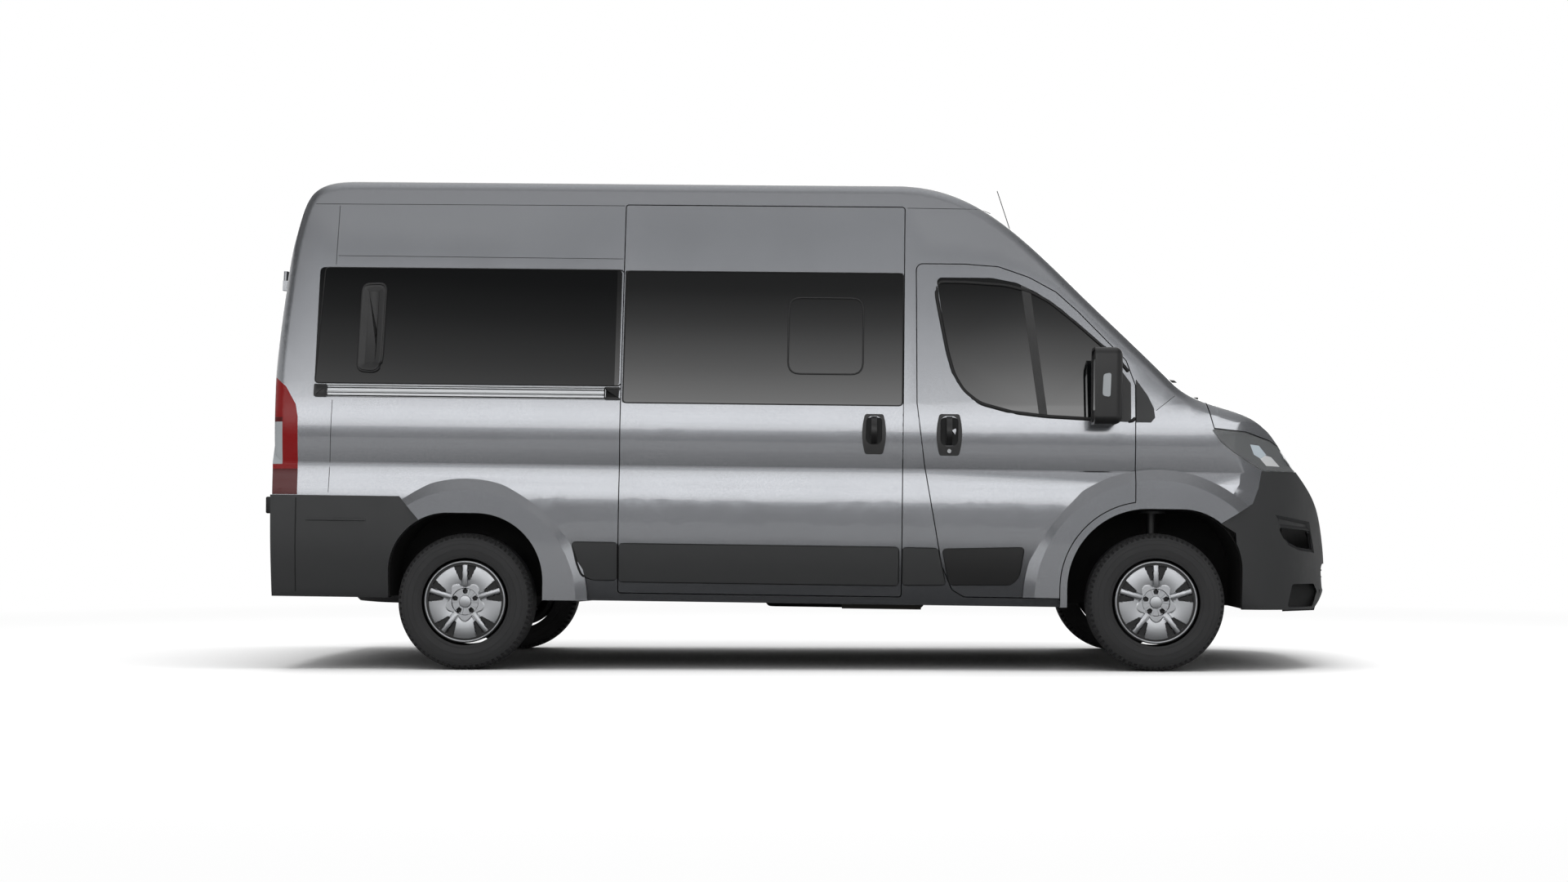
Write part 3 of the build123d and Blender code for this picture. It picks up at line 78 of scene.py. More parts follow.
def add_node(material, kind, inputs=None, links=None, **settings):
    """Adds one node with its settings, its input values and its links from (node, output) pairs"""
    node = material.node_tree.nodes.new(kind)
    for name, value in settings.items():
        setattr(node, name, value)
    for name, value in (inputs or {}).items():
        node.inputs[name].default_value = value
    for name, (source, output) in (links or {}).items():
        material.node_tree.links.new(source.outputs[output], node.inputs[name])
    return node


def new_material(name, **surface):
    """A material of one Principled surface, whose sockets are given by name"""
    material = bpy.data.materials.new(name)
    material.use_nodes = True
    material.node_tree.nodes.clear()
    inputs = {key.replace("_", " "): value for key, value in surface.items()}
    shader = add_node(material, "ShaderNodeBsdfPrincipled", inputs)
    add_node(material, "ShaderNodeOutputMaterial", links={"Surface": (shader, "BSDF")})
    return material, shader


def join(material, source, output, node, socket):
    """Links one node's output to another node's socket"""
    material.node_tree.links.new(source.outputs[output], node.inputs[socket])


def vary_roughness(material, shader, scale, low, high):
    """Makes the gloss wander between two values, as hands and dust leave it"""
    place = add_node(material, "ShaderNodeTexCoord")
    cloud = add_node(
        material, "ShaderNodeTexNoise", {"Scale": scale, "Detail": 3.0}, {"Vector": (place, "Object")}
    )
    soft = add_node(
        material, "ShaderNodeMapRange", {"To Min": low, "To Max": high}, {"Value": (cloud, "Fac")}
    )
    join(material, soft, "Result", shader, "Roughness")
    return place


def metallic_lacquer():
    """Grey base coat with 0.4 mm flakes, drawn at 1.5 mm so that they show, under a clear coat"""
    material, shader = new_material(
        "grey_metallic_lacquer", Metallic=0.85, Roughness=0.2, Coat_Weight=1.0, Coat_Roughness=0.02
    )
    place = vary_roughness(material, shader, 3.0, 0.17, 0.22)
    flakes = add_node(
        material, "ShaderNodeTexVoronoi", {"Scale": 650.0}, {"Vector": (place, "Object")}, feature="F1"
    )
    tone = add_node(material, "ShaderNodeValToRGB", links={"Fac": (flakes, "Color")})
    tone.color_ramp.elements[0].position = 0.2
    tone.color_ramp.elements[0].color = linear("77797D")
    tone.color_ramp.elements[1].position = 0.9
    tone.color_ramp.elements[1].color = linear("8B8D91")
    join(material, tone, "Color", shader, "Base Color")
    return material


def emboss(material, shader, strength, depth, source, output):
    """Raises a surface's relief from one node's output"""
    relief = add_node(
        material, "ShaderNodeBump", {"Strength": strength, "Distance": depth}, {"Height": (source, output)}
    )
    join(material, relief, "Normal", shader, "Normal")


def moulded_plastic(name, colour, roughness=0.5, grain=1.2, depth=0.0004):
    """Injection-moulded polypropylene with a leather grain of the given millimetres"""
    material, shader = new_material(name, Base_Color=linear(colour), Roughness=roughness)
    place = vary_roughness(material, shader, 8.0, roughness - 0.06, roughness + 0.08)
    cells = add_node(
        material, "ShaderNodeTexVoronoi", {"Scale": 1000 / grain}, {"Vector": (place, "Object")}
    )
    emboss(material, shader, 0.15, depth, cells, "Distance")
    return material


def in_scene(name, data):
    """An object of some data, linked to the scene"""
    thing = bpy.data.objects.new(name, data)
    bpy.context.scene.collection.objects.link(thing)
    return thing


def solid_of(name, shape, materials=()):
    """An object of a bmesh in its materials, and frees the bmesh"""
    mesh = bpy.data.meshes.new(name)
    shape.to_mesh(mesh)
    shape.free()
    for material in materials:
        mesh.materials.append(material)
    return in_scene(name, mesh)


def put(name, shape, materials, body, smooth):
    """Makes a piece of a bmesh, smooth except across edges sharper than the given degrees"""
    for face in shape.faces:
        face.smooth = True
    for edge in shape.edges:
        if len(edge.link_faces) == 2 and edge.calc_face_angle(0.0) > math.radians(smooth):
            edge.smooth = False
    piece = solid_of(name, shape, materials)
    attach(piece, body)
    return piece


def merged(node_name):
    """A bmesh of a node's mesh with its loose triangles joined"""
    shape = bmesh.new()
    shape.from_mesh(nodes[node_name].data)
    bmesh.ops.remove_doubles(shape, verts=shape.verts, dist=0.00002)
    return shape


def dressed(node_name, piece_name, material, smooth=28):
    """A smoothed copy of a node in its own finish, which stands for the node"""
    piece = put(piece_name, merged(node_name), [material], nodes[node_name]["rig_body"], smooth)
    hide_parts(node_name)
    return piece


def tree_of(names):
    """One search tree over the faces of some nodes"""
    vertices = []
    faces = []
    for name in names:
        start = len(vertices)
        vertices += [v.co.copy() for v in nodes[name].data.vertices]
        faces += [[start + i for i in face.vertices] for face in nodes[name].data.polygons]
    return BVHTree.FromPolygons(vertices, faces)


whole_van = tree_of([
    name for name in nodes
    if name not in ("wipers", "slide_rail", "side_mouldings", "sliding_door_handle")
    and not name.startswith(("cab_trim", "tyre", "wheel_"))
])
lacquer = metallic_lacquer()
lining = moulded_plastic("moulded_lining_grey", "4A4C4E", 0.6)
# black for moulded faces, and painted shade in shut gaps, grooves and joints
black_and_painted_shade = moulded_plastic("black_moulding_and_painted_shade", "0E0F10", 0.7)
painted = (
    "side_panel_right", "side_panel_left", "roof", "wings", "bonnet", "sliding_door",
    "cab_door_right", "cab_door_left", "rear_door_right", "rear_door_left",
)
inwards = {  # the way from each panel to the inside of the van
    "side_panel_right": (0, 1, 0), "side_panel_left": (0, -1, 0), "roof": (0, 0, -1),
    "sliding_door": (0, 1, 0), "cab_door_right": (0, 1, 0), "cab_door_left": (0, -1, 0),
    "rear_door_right": (1, 0, 0), "rear_door_left": (1, 0, 0),
}
shut_gap = 0.08      # metres to what a face looks at, below which it is black as painted shade and not lining
crease_angle = 13    # degrees, above which two facets of a pressing meet in a crease
skin_off = 0.0015    # metres from a face to where its rays start
sky = [Vector(way) for way in ((1, 0, 0), (-1, 0, 0), (0, 1, 0), (0, -1, 0), (0, 0, 1))]
for panel in painted:
    shape = merged(panel)
    for face in shape.faces:
        place = face.calc_center_median() + face.normal * skin_off
        hit = whole_van.ray_cast(place, face.normal, 3.0)
        seen = any(
            face.normal.dot(way) > 0.3 and whole_van.ray_cast(place, way, 6.0)[0] is None for way in sky
        )
        if face.normal.dot(Vector(inwards.get(panel, (0, 0, 0)))) > 0.5:
            face.material_index = 1
        # faces that look at something within shut_gap are black as painted shade in the gap; further off,
        # lining
        elif hit[0] is not None and not seen:
            face.material_index = 1 if hit[3] > shut_gap else 2
    finishes = [lacquer, lining, black_and_painted_shade]
    piece = put(panel + "_shell", shape, finishes, nodes[panel]["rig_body"], crease_angle)
    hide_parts(panel)

# ---------------------------------------------------------------- glass
# Tempered side glass with a dark privacy tint, bonded flush in the body and framed in the cab doors,
# and a laminated windscreen with a light tint.  The panes behind the sliding door are the darkest.


def tinted_glass(name, index):
    """Privacy glass: almost black from outside, with a hard gloss that grows with its index"""
    material, shader = new_material(name, Base_Color=linear("0A0B0C"), Roughness=0.03, IOR=index)
    vary_roughness(material, shader, 2.0, 0.015, 0.04)
    return material


def clear_glass(name, colour, alpha):
    """Clear sheet with a faint cast, through which what lies behind shows"""
    material, shader = new_material(
        name, Base_Color=linear(colour), Roughness=0.02, IOR=1.5, Alpha=alpha
    )
    vary_roughness(material, shader, 2.0, 0.01, 0.03)
    return material


privacy_glass = tinted_glass("privacy_tinted_glass", 1.72)
quarter_glass = tinted_glass("darker_privacy_glass", 1.38)
screen_glass = clear_glass("laminated_screen_glass", "262B2A", 0.5)
darker_behind = -0.93    # along the van, where the darker panes begin
for pane in ("cab_glass_right", "cab_glass_left", "rear_glass_right", "rear_glass_left"):
    dressed(pane, pane + "_panes", privacy_glass)
shape = merged("side_windows")
for face in shape.faces:
    face.material_index = 1 if face.calc_center_median().x < darker_behind else 0
side_panes = put("side_windows_panes", shape, [privacy_glass, quarter_glass], "body", 28)
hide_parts("side_windows")
dressed("windscreen", "windscreen_pane", screen_glass)

# ---------------------------------------------------------------- dark mouldings
# The rear bumper, rub strips, mirror shells, handles and scuttle are moulded polypropylene with a
# leather grain: dark grey rather than black, and matt.  They clip or screw to the shell.
bumper_plastic = moulded_plastic("grained_polypropylene", "2A2B2C", 0.48)
black_plastic = moulded_plastic("black_moulded_plastic", "141415", 0.4)
liner_felt = moulded_plastic("black_arch_liner", "050505", 0.9, 4.0)
black_ones = ("grille", "cab_front", "wipers", "cab_trim_right", "cab_trim_left", "sliding_door_handle")
for finish, mouldings in (
    (bumper_plastic, ("rear_bumper", "side_mouldings")), (black_plastic, black_ones),
    (liner_felt, ("wheel_housings", "fuel_tank")),
):
    for moulding in mouldings:
        dressed(moulding, moulding + "_moulded", finish)

# ---------------------------------------------------------------- seams and gutters
# Where two pressings meet without a gap, a thin dark cord in the groove of the joint is painted shade:
# along the roof gutter, above the windows, down the rear corner and across the foot of the screen pillar.
level = Matrix.Rotation(math.radians(0.75), 4, "Y")  # the body sits a little nose down on its wheels
beside_van = 1.6     # metres from the middle, clear of both flanks


def on_side(x, z, side, out=0.0):
    """The point of the flank at one place along and up the level body, moved outwards

    A line that falls in a gap takes the flank just beside it.
    """
    for shift_x, shift_z in ((0, 0), (0.015, 0), (-0.015, 0), (0, 0.015), (0, -0.015), (0.03, 0.03)):
        start = level @ Vector((x + shift_x, side * beside_van, z + shift_z))
        hit = whole_van.ray_cast(start, Vector((0, -side, 0)), 0.95)[0]
        if hit is not None:
            break
    here = level @ Vector((x, 0, z))
    return Vector((here.x, hit.y + side * out, here.z))


def stepped(points, step=0.05, closed=False):
    """The points of a polyline, with more between them no further apart than a step"""
    path = []
    ends = points[1:] + points[:1] if closed else points[1:]
    for here, there in zip(points, ends):
        count = max(1, math.ceil(math.dist(here, there) / step))
        path += [tuple(a + (b - a) * i / count for a, b in zip(here, there)) for i in range(count)]
    return path if closed else path + [points[-1]]


def rounded(corners, radius, steps=5):
    """A closed outline with its corners rounded by short curves"""
    outline = []
    for before, corner, after in zip(corners[-1:] + corners[:-1], corners, corners[1:] + corners[:1]):
        before, corner, after = Vector(before), Vector(corner), Vector(after)
        start = corner + (before - corner).normalized() * radius
        end = corner + (after - corner).normalized() * radius
        for i in range(steps + 1):
            t = i / steps
            outline.append(tuple(start * (1 - t) ** 2 + corner * 2 * t * (1 - t) + end * t ** 2))
    return outline


def oblong(start, end, low, high, radius, steps=5):
    """An upright oblong with its corners rounded"""
    return rounded([(start, low), (end, low), (end, high), (start, high)], radius, steps)


def bead(name, points, radius, material, body, closed=False):
    """A round cord of material along a line of points"""
    curve = bpy.data.curves.new(name, "CURVE")
    curve.dimensions = "3D"
    curve.bevel_depth = radius
    curve.bevel_resolution = 2
    curve.use_fill_caps = True
    spline = curve.splines.new("POLY")
    spline.points.add(len(points) - 1)
    for knot, point in zip(spline.points, points):
        knot.co = (*point, 1)
    spline.use_cyclic_u = closed
    holder = bpy.data.objects.new(name, curve)
    shape = bmesh.new()
    shape.from_mesh(bpy.data.meshes.new_from_object(holder))
    bpy.data.objects.remove(holder)
    bmesh.ops.recalc_face_normals(shape, faces=shape.faces)
    return put(name, shape, [material], body, 50)


def side_bead(name, outline, side, radius, material, body, out=0.0, closed=False):
    """A cord laid on the flank along an outline of the level body"""
    path = [on_side(x, z, side, out) for x, z in stepped(outline, 0.04, closed)]
    return bead(name, path, radius, material, body, closed)


# dark cords that are painted shade in the grooves of the joints
seam_shade = moulded_plastic("dark_seam_painted_shade", "202123", 0.6)
hands = (("right", -1), ("left", 1))
seams = {
    "gutter_rear": [(-2.52, 2.335), (-0.935, 2.338)],
    "gutter_front": [(0.503, 2.338), (0.93, 2.335)],
    "waist_line_rear": [(-2.39, 2.066), (-0.935, 2.062)],
    "rear_corner_upper": [(-2.395, 2.325), (-2.40, 2.02)],
    "rear_corner_lower": [(-2.384, 1.325), (-2.392, 0.86)],
    "pillar_top": [(1.251, 1.912), (1.288, 1.955)],
    "pillar_foot": [(1.748, 1.318), (1.868, 1.415)],
}
for hand, side in hands:
    for seam, line in seams.items():
        side_bead(seam + "_seam_" + hand, line, side, 0.0016, seam_shade, "body", -0.0004)
    # a black cord down the rear bumper's split is painted shade in the gap
    side_bead(
        "bumper_split_" + hand, [(-2.553, 0.83), (-2.553, 0.36)], side, 0.0028, black_and_painted_shade, "body",
        -0.0006,
    )

# ---------------------------------------------------------------- window rubbers and glass fittings
# A black extruded rubber frames each cab window and the flush panes have a thin gasket.  The rear
# panes carry a moulded vent scoop, and the sliding door's pane holds a small hinged window.
rubber = moulded_plastic("extruded_black_rubber", "0B0B0C", 0.55, 0.8)
cab_window = [
    (0.657, 1.959), (0.80, 1.958), (1.00, 1.945), (1.12, 1.915), (1.22, 1.862), (1.35, 1.757),
    (1.49, 1.634), (1.571, 1.561), (1.643, 1.471), (1.643, 1.262), (1.488, 1.268), (1.205, 1.281),
    (1.034, 1.300), (0.872, 1.343), (0.790, 1.408), (0.741, 1.490), (0.708, 1.605), (0.666, 1.813),
    (0.650, 1.90),
]
rear_pane = [(-2.478, 1.411), (-0.929, 1.411), (-0.929, 2.004), (-2.452, 2.004)]
hinged_pane = oblong(-0.09, 0.286, 1.483, 1.870, 0.06)
scoop = rounded(
    [(-2.262, 1.475), (-2.160, 1.470), (-2.142, 1.535), (-2.138, 1.922), (-2.255, 1.918)], 0.035
)
scoop_lid = [(x * 0.97 - 0.066, z * 0.97 + 0.051) for x, z in scoop]     # shrunk to lie inside the rim
cords = (     # name, outline, thickness, material and how far out of the flank it lies
    ("cab_window_rubber", rounded(cab_window, 0.03, 3), 0.010, rubber, -0.002),
    ("rear_pane_gasket", rounded(rear_pane, 0.02, 3), 0.0035, rubber, -0.0005),
    ("door_pane_gasket", oblong(-0.917, 0.486, 1.327, 2.0, 0.02, 3), 0.0035, rubber, -0.0005),
    ("hinged_pane_frame", hinged_pane, 0.0045, black_plastic, 0.0),
    ("vent_scoop_rim", scoop, 0.009, black_plastic, 0.0),
)


def plate(name, outline, place, material, body, slot, height, rim=0.0, dish=0.0, smooth=35):
    """A flat plate laid by a placing function over an outline, proud by a height, dished inside a rim"""
    shape = bmesh.new()
    base = [shape.verts.new(place(u, v, -0.002)) for u, v in outline]
    face = shape.faces.new(base)
    face.normal_update()
    normal = place(*outline[0], 1.0) - place(*outline[0], 0.0)
    if face.normal.dot(normal) < 0:
        face.normal_flip()
    grown = bmesh.ops.extrude_face_region(shape, geom=[face])
    top = [item for item in grown["geom"] if isinstance(item, bmesh.types.BMVert)]
    bmesh.ops.translate(shape, verts=top, vec=normal.normalized() * (height + 0.002))
    lid = [item for item in grown["geom"] if isinstance(item, bmesh.types.BMFace)]
    if rim:
        bmesh.ops.inset_region(shape, faces=lid, thickness=rim * 0.35, use_even_offset=False)
        bmesh.ops.inset_region(shape, faces=lid, thickness=rim * 0.65, depth=-dish, use_even_offset=False)
    bmesh.ops.recalc_face_normals(shape, faces=shape.faces)
    return put(name, shape, [material], body, smooth)


def side_place(side):
    """Places plate outlines on one flank"""
    return lambda x, z, out: on_side(x, z, side) + Vector((0, side * out, 0))


for hand, side in hands:
    for cord, outline, thickness, finish, out in cords:
        carrier = "cab_door_" + hand if cord == "cab_window_rubber" else "body"
        side_bead(
            cord + "_" + hand, outline, side, thickness, finish, carrier, out, True
        )
    plate(
        "vent_scoop_" + hand, scoop_lid, side_place(side), black_plastic, "body", "black_plastic",
        0.012, 0.03, 0.008,
    )

# ---------------------------------------------------------------- slide rail
# The outside guide of the sliding door is an anodised aluminium section screwed to the flank between
# two black end caps, with two drawn ribs along it and two black cords that are painted shade in its
# grooves.  The left flank has none.


def satin_metal(name, colour, roughness=0.28):
    """Bare or anodised metal with fine drawn lines along its length"""
    material, shader = new_material(name, Base_Color=linear(colour), Metallic=1.0, Roughness=roughness)
    vary_roughness(material, shader, 30.0, roughness - 0.05, roughness + 0.06)
    return material


anodised = satin_metal("satin_anodised_aluminium", "B4B6B8", 0.36)
dressed("slide_rail", "slide_rail_section", anodised)
rail_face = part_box("slide_rail")[0].y
# ribs in the anodised finish, and two black cords that are painted shade in the grooves
for height, thickness, finish in (
    (1.400, 0.0035, anodised), (1.388, 0.0022, black_and_painted_shade), (1.366, 0.0045, anodised),
    (1.347, 0.0035, black_and_painted_shade),
):
    ends = [level @ Vector((x, rail_face, height)) for x in (-2.41, -1.01)]
    bead("slide_rail_rib_%d" % round(height * 1000), ends, thickness, finish, "body")
for end, low, high in (("rear", -2.478, -2.410), ("front", -1.010, -0.930)):
    cap = oblong(low, high, 1.342, 1.405, 0.008, 3)
    plate(
        "slide_rail_cap_" + end, cap, side_place(-1), black_plastic, "body", "black_plastic",
        0.014, 0.012, 0.004,
    )

# ---------------------------------------------------------------- door handles
# Each side door has an upright bowed grip of moulded plastic over a dark dish.  The cab doors also
# have a turned and chromed key lock below it, pressed into the outer skin.
bright_metal = satin_metal("bright_chromed_steel", "D6D8DA", 0.12)
for hand, side in hands:
    door = "cab_door_" + hand
    dish = oblong(0.675, 0.766, 1.13, 1.272, 0.03)
    plate("handle_dish_" + hand, dish, side_place(side), black_and_painted_shade, door, "black_plastic", 0.002)
    lock = bmesh.new()
    centre = on_side(0.7205, 1.103, side, 0.0125)
    bmesh.ops.create_cone(
        lock, cap_ends=True, segments=32, radius1=0.011, radius2=0.010, depth=0.008,
        matrix=Matrix.Translation(centre) @ Matrix.Rotation(math.radians(90), 4, "X"),
    )
    slot_cut = bmesh.ops.create_cube(lock, size=1.0)["verts"]
    bmesh.ops.scale(lock, vec=(0.002, 0.002, 0.010), verts=slot_cut)
    bmesh.ops.translate(lock, vec=centre + Vector((0, side * 0.004, 0)), verts=slot_cut)
    put("key_lock_" + hand, lock, [bright_metal], door, 35)
dish = oblong(0.302, 0.389, 1.13, 1.268, 0.03)
plate("slide_handle_dish", dish, side_place(-1), black_and_painted_shade, "body", "black_plastic", 0.002)

# ---------------------------------------------------------------- bumpers
# The front bumper is grained polypropylene, with a vent sunk beside each lamp and a fog lamp bay below
# it.  A ridge runs along the rear bumper's sides, and rubber blocks keep a loading ramp off its face.


def sides_of(outline):
    """The start and the run of each side of an outline seen from the flank, on the raked body"""
    for here, there in zip(outline, outline[1:] + outline[:1]):
        start = level @ Vector((here[0], 0, here[1]))
        yield start, level @ Vector((there[0], 0, there[1])) - start


def cut_through(shape, point, normal, slack=0.0):
    """Cuts a shell right across by one plane and keeps both halves"""
    whole = shape.verts[:] + shape.edges[:] + shape.faces[:]
    bmesh.ops.bisect_plane(shape, geom=whole, plane_co=point, plane_no=normal, dist=slack)


def cut_along(shape, outline):
    """Cuts a shell right across along each side of an outline seen from the flank"""
    for start, run in sides_of(outline):
        cut_through(shape, start, (-run.z, 0, run.x), 0.00001)


def within(place, outline):
    """Whether a place lies inside a convex outline seen from the flank"""
    turns = {
        run.x * (place.z - start.z) - run.z * (place.x - start.x) > 0 for start, run in sides_of(outline)
    }
    return len(turns) == 1


corner_vent = [
    (2.351, 0.807), (2.554, 0.774), (2.592, 0.616), (2.492, 0.628), (2.422, 0.657), (2.380, 0.724),
]
vent_mouth = [(2.425, 0.735), (2.560, 0.715), (2.575, 0.640), (2.492, 0.650), (2.440, 0.680)]
bumper = merged("front_bumper")
for outline, sink, lip, finish in ((corner_vent, 0.014, 0.016, 0), (vent_mouth, 0.022, 0.006, 1)):
    cut_along(bumper, outline)
    for side in (1, -1):
        picked = [
            face for face in bumper.faces
            if within(face.calc_center_median(), outline) and face.normal.y * side > 0.12
            and face.calc_center_median().y * side > 0.5
        ]
        bmesh.ops.inset_region(bumper, faces=picked, thickness=lip, depth=-sink, use_even_offset=False)
        for face in picked:
            face.material_index = finish
piece = put("front_bumper_moulding", bumper, [bumper_plastic, black_and_painted_shade], "body", 28)
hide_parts("front_bumper")
fog_bay = [(2.40, 0.47), (2.60, 0.47), (2.64, 0.425), (2.60, 0.325), (2.40, 0.325)]
bay_depth = 0.035
bay_rear, bay_front = 2.37, 2.60     # where the flank is taken, behind and at the front of the bay
ridge = [(-2.50, 0.722), (-2.20, 0.722)]
for hand, side in hands:
    near, far = on_side(bay_rear, 0.50, side), on_side(bay_front, 0.50, side)

    def in_bay(x, z, out):
        """The back wall of the fog lamp bay, a little inside the bumper's corner"""
        here = level @ Vector((x, 0, z))
        flank = near.lerp(far, (x - bay_rear) / (bay_front - bay_rear)).y
        return Vector((here.x, flank - side * (bay_depth - out), here.z))

    plate("fog_lamp_bay_" + hand, fog_bay, in_bay, black_and_painted_shade, "body", "trim_plastic", 0.01, 0.02, 0.006)
    side_bead(
        "rear_bumper_ridge_" + hand, ridge, side, 0.007, bumper_plastic, "body", -0.002
    )
    block = bmesh.new()
    bmesh.ops.create_cube(block, size=1.0)
    bmesh.ops.scale(block, vec=(0.065, 0.12, 0.085), verts=block.verts)
    bmesh.ops.bevel(
        block, geom=block.edges[:], offset=0.008, segments=3, profile=0.5, affect="EDGES", material=-1
    )
    behind = level @ Vector((-3.2, side * 0.86, 0.785))
    corner = whole_van.ray_cast(behind, Vector((1, 0, 0)), 2.0)[0]
    bmesh.ops.translate(block, vec=corner - Vector((0.012, 0, 0)), verts=block.verts)
    put("rear_buffer_" + hand, block, [rubber], "body", 40)

# ---------------------------------------------------------------- rub strip joints
# The rub strips are moulded and held on the flank by clips, a few millimetres off the paint.  A black
# cord round each of them is painted shadow in that joint.
strip_joints = {
    "rear": [
        (-1.158, 0.624), (-0.933, 0.623), (-0.933, 0.440), (-1.050, 0.438), (-1.107, 0.458),
        (-1.132, 0.519),
    ],
    "slide": [(-0.921, 0.432), (0.473, 0.432), (0.473, 0.619), (-0.921, 0.619)],
    "post": [(0.496, 0.618), (0.668, 0.616), (0.708, 0.438), (0.496, 0.435)],
    "door": [(0.694, 0.613), (1.096, 0.626), (1.073, 0.484), (1.034, 0.443), (0.730, 0.439)],
}
# black cords round the rub strips: painted shadow in the joints
for hand, side in hands:
    for strip, outline in strip_joints.items():
        carrier = "cab_door_" + hand if strip == "door" else "body"
        side_bead(
            "strip_joint_%s_%s" % (strip, hand), rounded(outline, 0.02, 3), side, 0.0055, black_and_painted_shade,
            carrier, 0.0015, True,
        )

# ---------------------------------------------------------------- wheels and tyres
# Radial van tyres of black rubber on steel rims.  The tread has four grooves and blocked shoulders and
# the walls have fine moulded rings.  A silver-painted moulded cover with five narrow spokes, five broad
# petals and a bare round cap clips into each rim.  Its openings are shallow dishes: their floors are
# black as the wheel behind, and their steep walls are black as painted shade.
rubber_compound = moulded_plastic("tyre_rubber", "2C2C2D", 0.72, 1.5)
cover_silver = satin_metal("silver_painted_cover", "B4B6B9", 0.38)
rim_paint = moulded_plastic("black_wheel_paint", "141415", 0.5, 2.0)
corners = [(axle + "_" + hand, side) for axle in ("front", "rear") for hand, side in hands]
wall_rings = [     # (radius, distance from the middle plane) up the wall and across half the tread
    (0.2180, 0.0840), (0.2185, 0.0895), (0.2240, 0.0945), (0.2265, 0.0958), (0.2290, 0.0962),
    (0.2295, 0.0975), (0.2320, 0.0980), (0.2325, 0.0970), (0.2460, 0.1020), (0.2600, 0.1056),
    (0.2605, 0.1068), (0.2630, 0.1070), (0.2635, 0.1058), (0.2750, 0.1060), (0.2880, 0.1048),
    (0.2885, 0.1058), (0.2905, 0.1056), (0.2910, 0.1042), (0.3020, 0.1020), (0.3100, 0.0995),
    (0.3105, 0.1008), (0.3190, 0.0975), (0.3265, 0.0915), (0.3330, 0.0830), (0.3375, 0.0740),
    (0.3402, 0.0640), (0.3330, 0.0630), (0.3330, 0.0570), (0.3408, 0.0560), (0.3413, 0.0420),
    (0.3413, 0.0270), (0.3330, 0.0262), (0.3330, 0.0190), (0.3414, 0.0182), (0.3415, 0.0090),
]
tyre_profile = wall_rings + [(radius, -out) for radius, out in reversed(wall_rings)]
around = 144     # facets round the tyre, two to each shoulder block and gap


def spun(profile, centre, side, count):
    """A profile of (radius, height outwards) turned round a wheel's axle"""
    shape = bmesh.new()
    knots = [shape.verts.new(centre + Vector((radius, side * out, 0))) for radius, out in profile]
    edges = [shape.edges.new(pair) for pair in zip(knots, knots[1:])]
    bmesh.ops.spin(
        shape, geom=knots + edges, cent=centre, axis=(0, 1, 0), angle=math.tau, steps=count, use_merge=True
    )
    bmesh.ops.remove_doubles(shape, verts=shape.verts, dist=0.00005)
    bmesh.ops.recalc_face_normals(shape, faces=shape.faces)
    return shape


def hub_of(corner):
    """The middle of a wheel, on its axle"""
    low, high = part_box("tyre_" + corner)
    return (low + high) / 2


def round_axle(place):
    """How far from the axle a place measured from the wheel's middle is, and its angle round it"""
    return math.hypot(place.x, place.z), math.atan2(place.z, place.x)


for corner, side in corners:
    centre = hub_of(corner)
    tyre = spun(tyre_profile, centre, side, around)
    shoulder = []
    for face in tyre.faces:
        place = face.calc_center_median() - centre
        radius, angle = round_axle(place)
        turn = round(math.degrees(angle) * around / 360 - 0.5)
        if 0.3195 < radius < 0.3405 and 0.0635 < abs(place.y) < 0.0975 and turn % 2 == 0:
            shoulder.append(face)
    bmesh.ops.inset_individual(tyre, faces=shoulder, thickness=0.0022, depth=-0.005)
    piece = put("treaded_tyre_" + corner, tyre, [rubber_compound], "wheel_" + corner, 35)
    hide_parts("tyre_" + corner)

# The cover is laid out in shares of its face radius, with heights in metres from the middle plane.
spoke_turn = 72          # degrees from one spoke to the next
face_radius = 0.206
face_rings = 72
ring_share = 0.93        # inner edge of the bright outer ring
cap_share = 0.15         # bare round cap
dish_share = 0.33        # dished ring with the bolt recesses
bolt_share = 0.255
bolt_size = 0.058
spoke_half = 0.062
ring_top, petal_top, hub_top, dish_top = 0.0925, 0.089, 0.086, 0.078
window_floor, bolt_floor = 0.079, 0.064


def cover_height(radius, angle):
    """How far the wheel cover stands out of the wheel's middle plane, and whether it is open there"""
    share = radius / face_radius
    if share > ring_share:
        return ring_top - 0.006 * ((share - 0.965) / 0.035) ** 2, False
    off = (math.degrees(angle) - 90 + spoke_turn / 2) % spoke_turn - spoke_turn / 2
    from_spoke = abs(share * math.sin(math.radians(off)))
    along = share * math.cos(math.radians(off))
    pentagon = 0.42 + 0.06 * math.cos(math.radians(5 * (abs(off) - spoke_turn / 2)))
    crown = petal_top - 0.008 * ((share - 0.65) / 0.35) ** 2
    if share < cap_share:
        return hub_top - 0.10 * share ** 2, False
    if math.hypot(along - bolt_share, from_spoke) < bolt_size:
        return bolt_floor, True
    if share < dish_share:
        return dish_top + (0.002 if int(abs(off) / 12) % 2 else 0.0), False
    if share < pentagon:
        return hub_top, False
    if from_spoke < spoke_half:
        return crown + 0.0035 - 0.5 * from_spoke ** 2, False
    window_width = 0.11 + 0.45 * (along - 0.5)
    if 0.50 + 0.3 * from_spoke < along < 0.88 and 0.075 < from_spoke < window_width:
        return window_floor, True
    if from_spoke < 0.085:
        return crown - 0.005, False
    return crown - 0.002, False


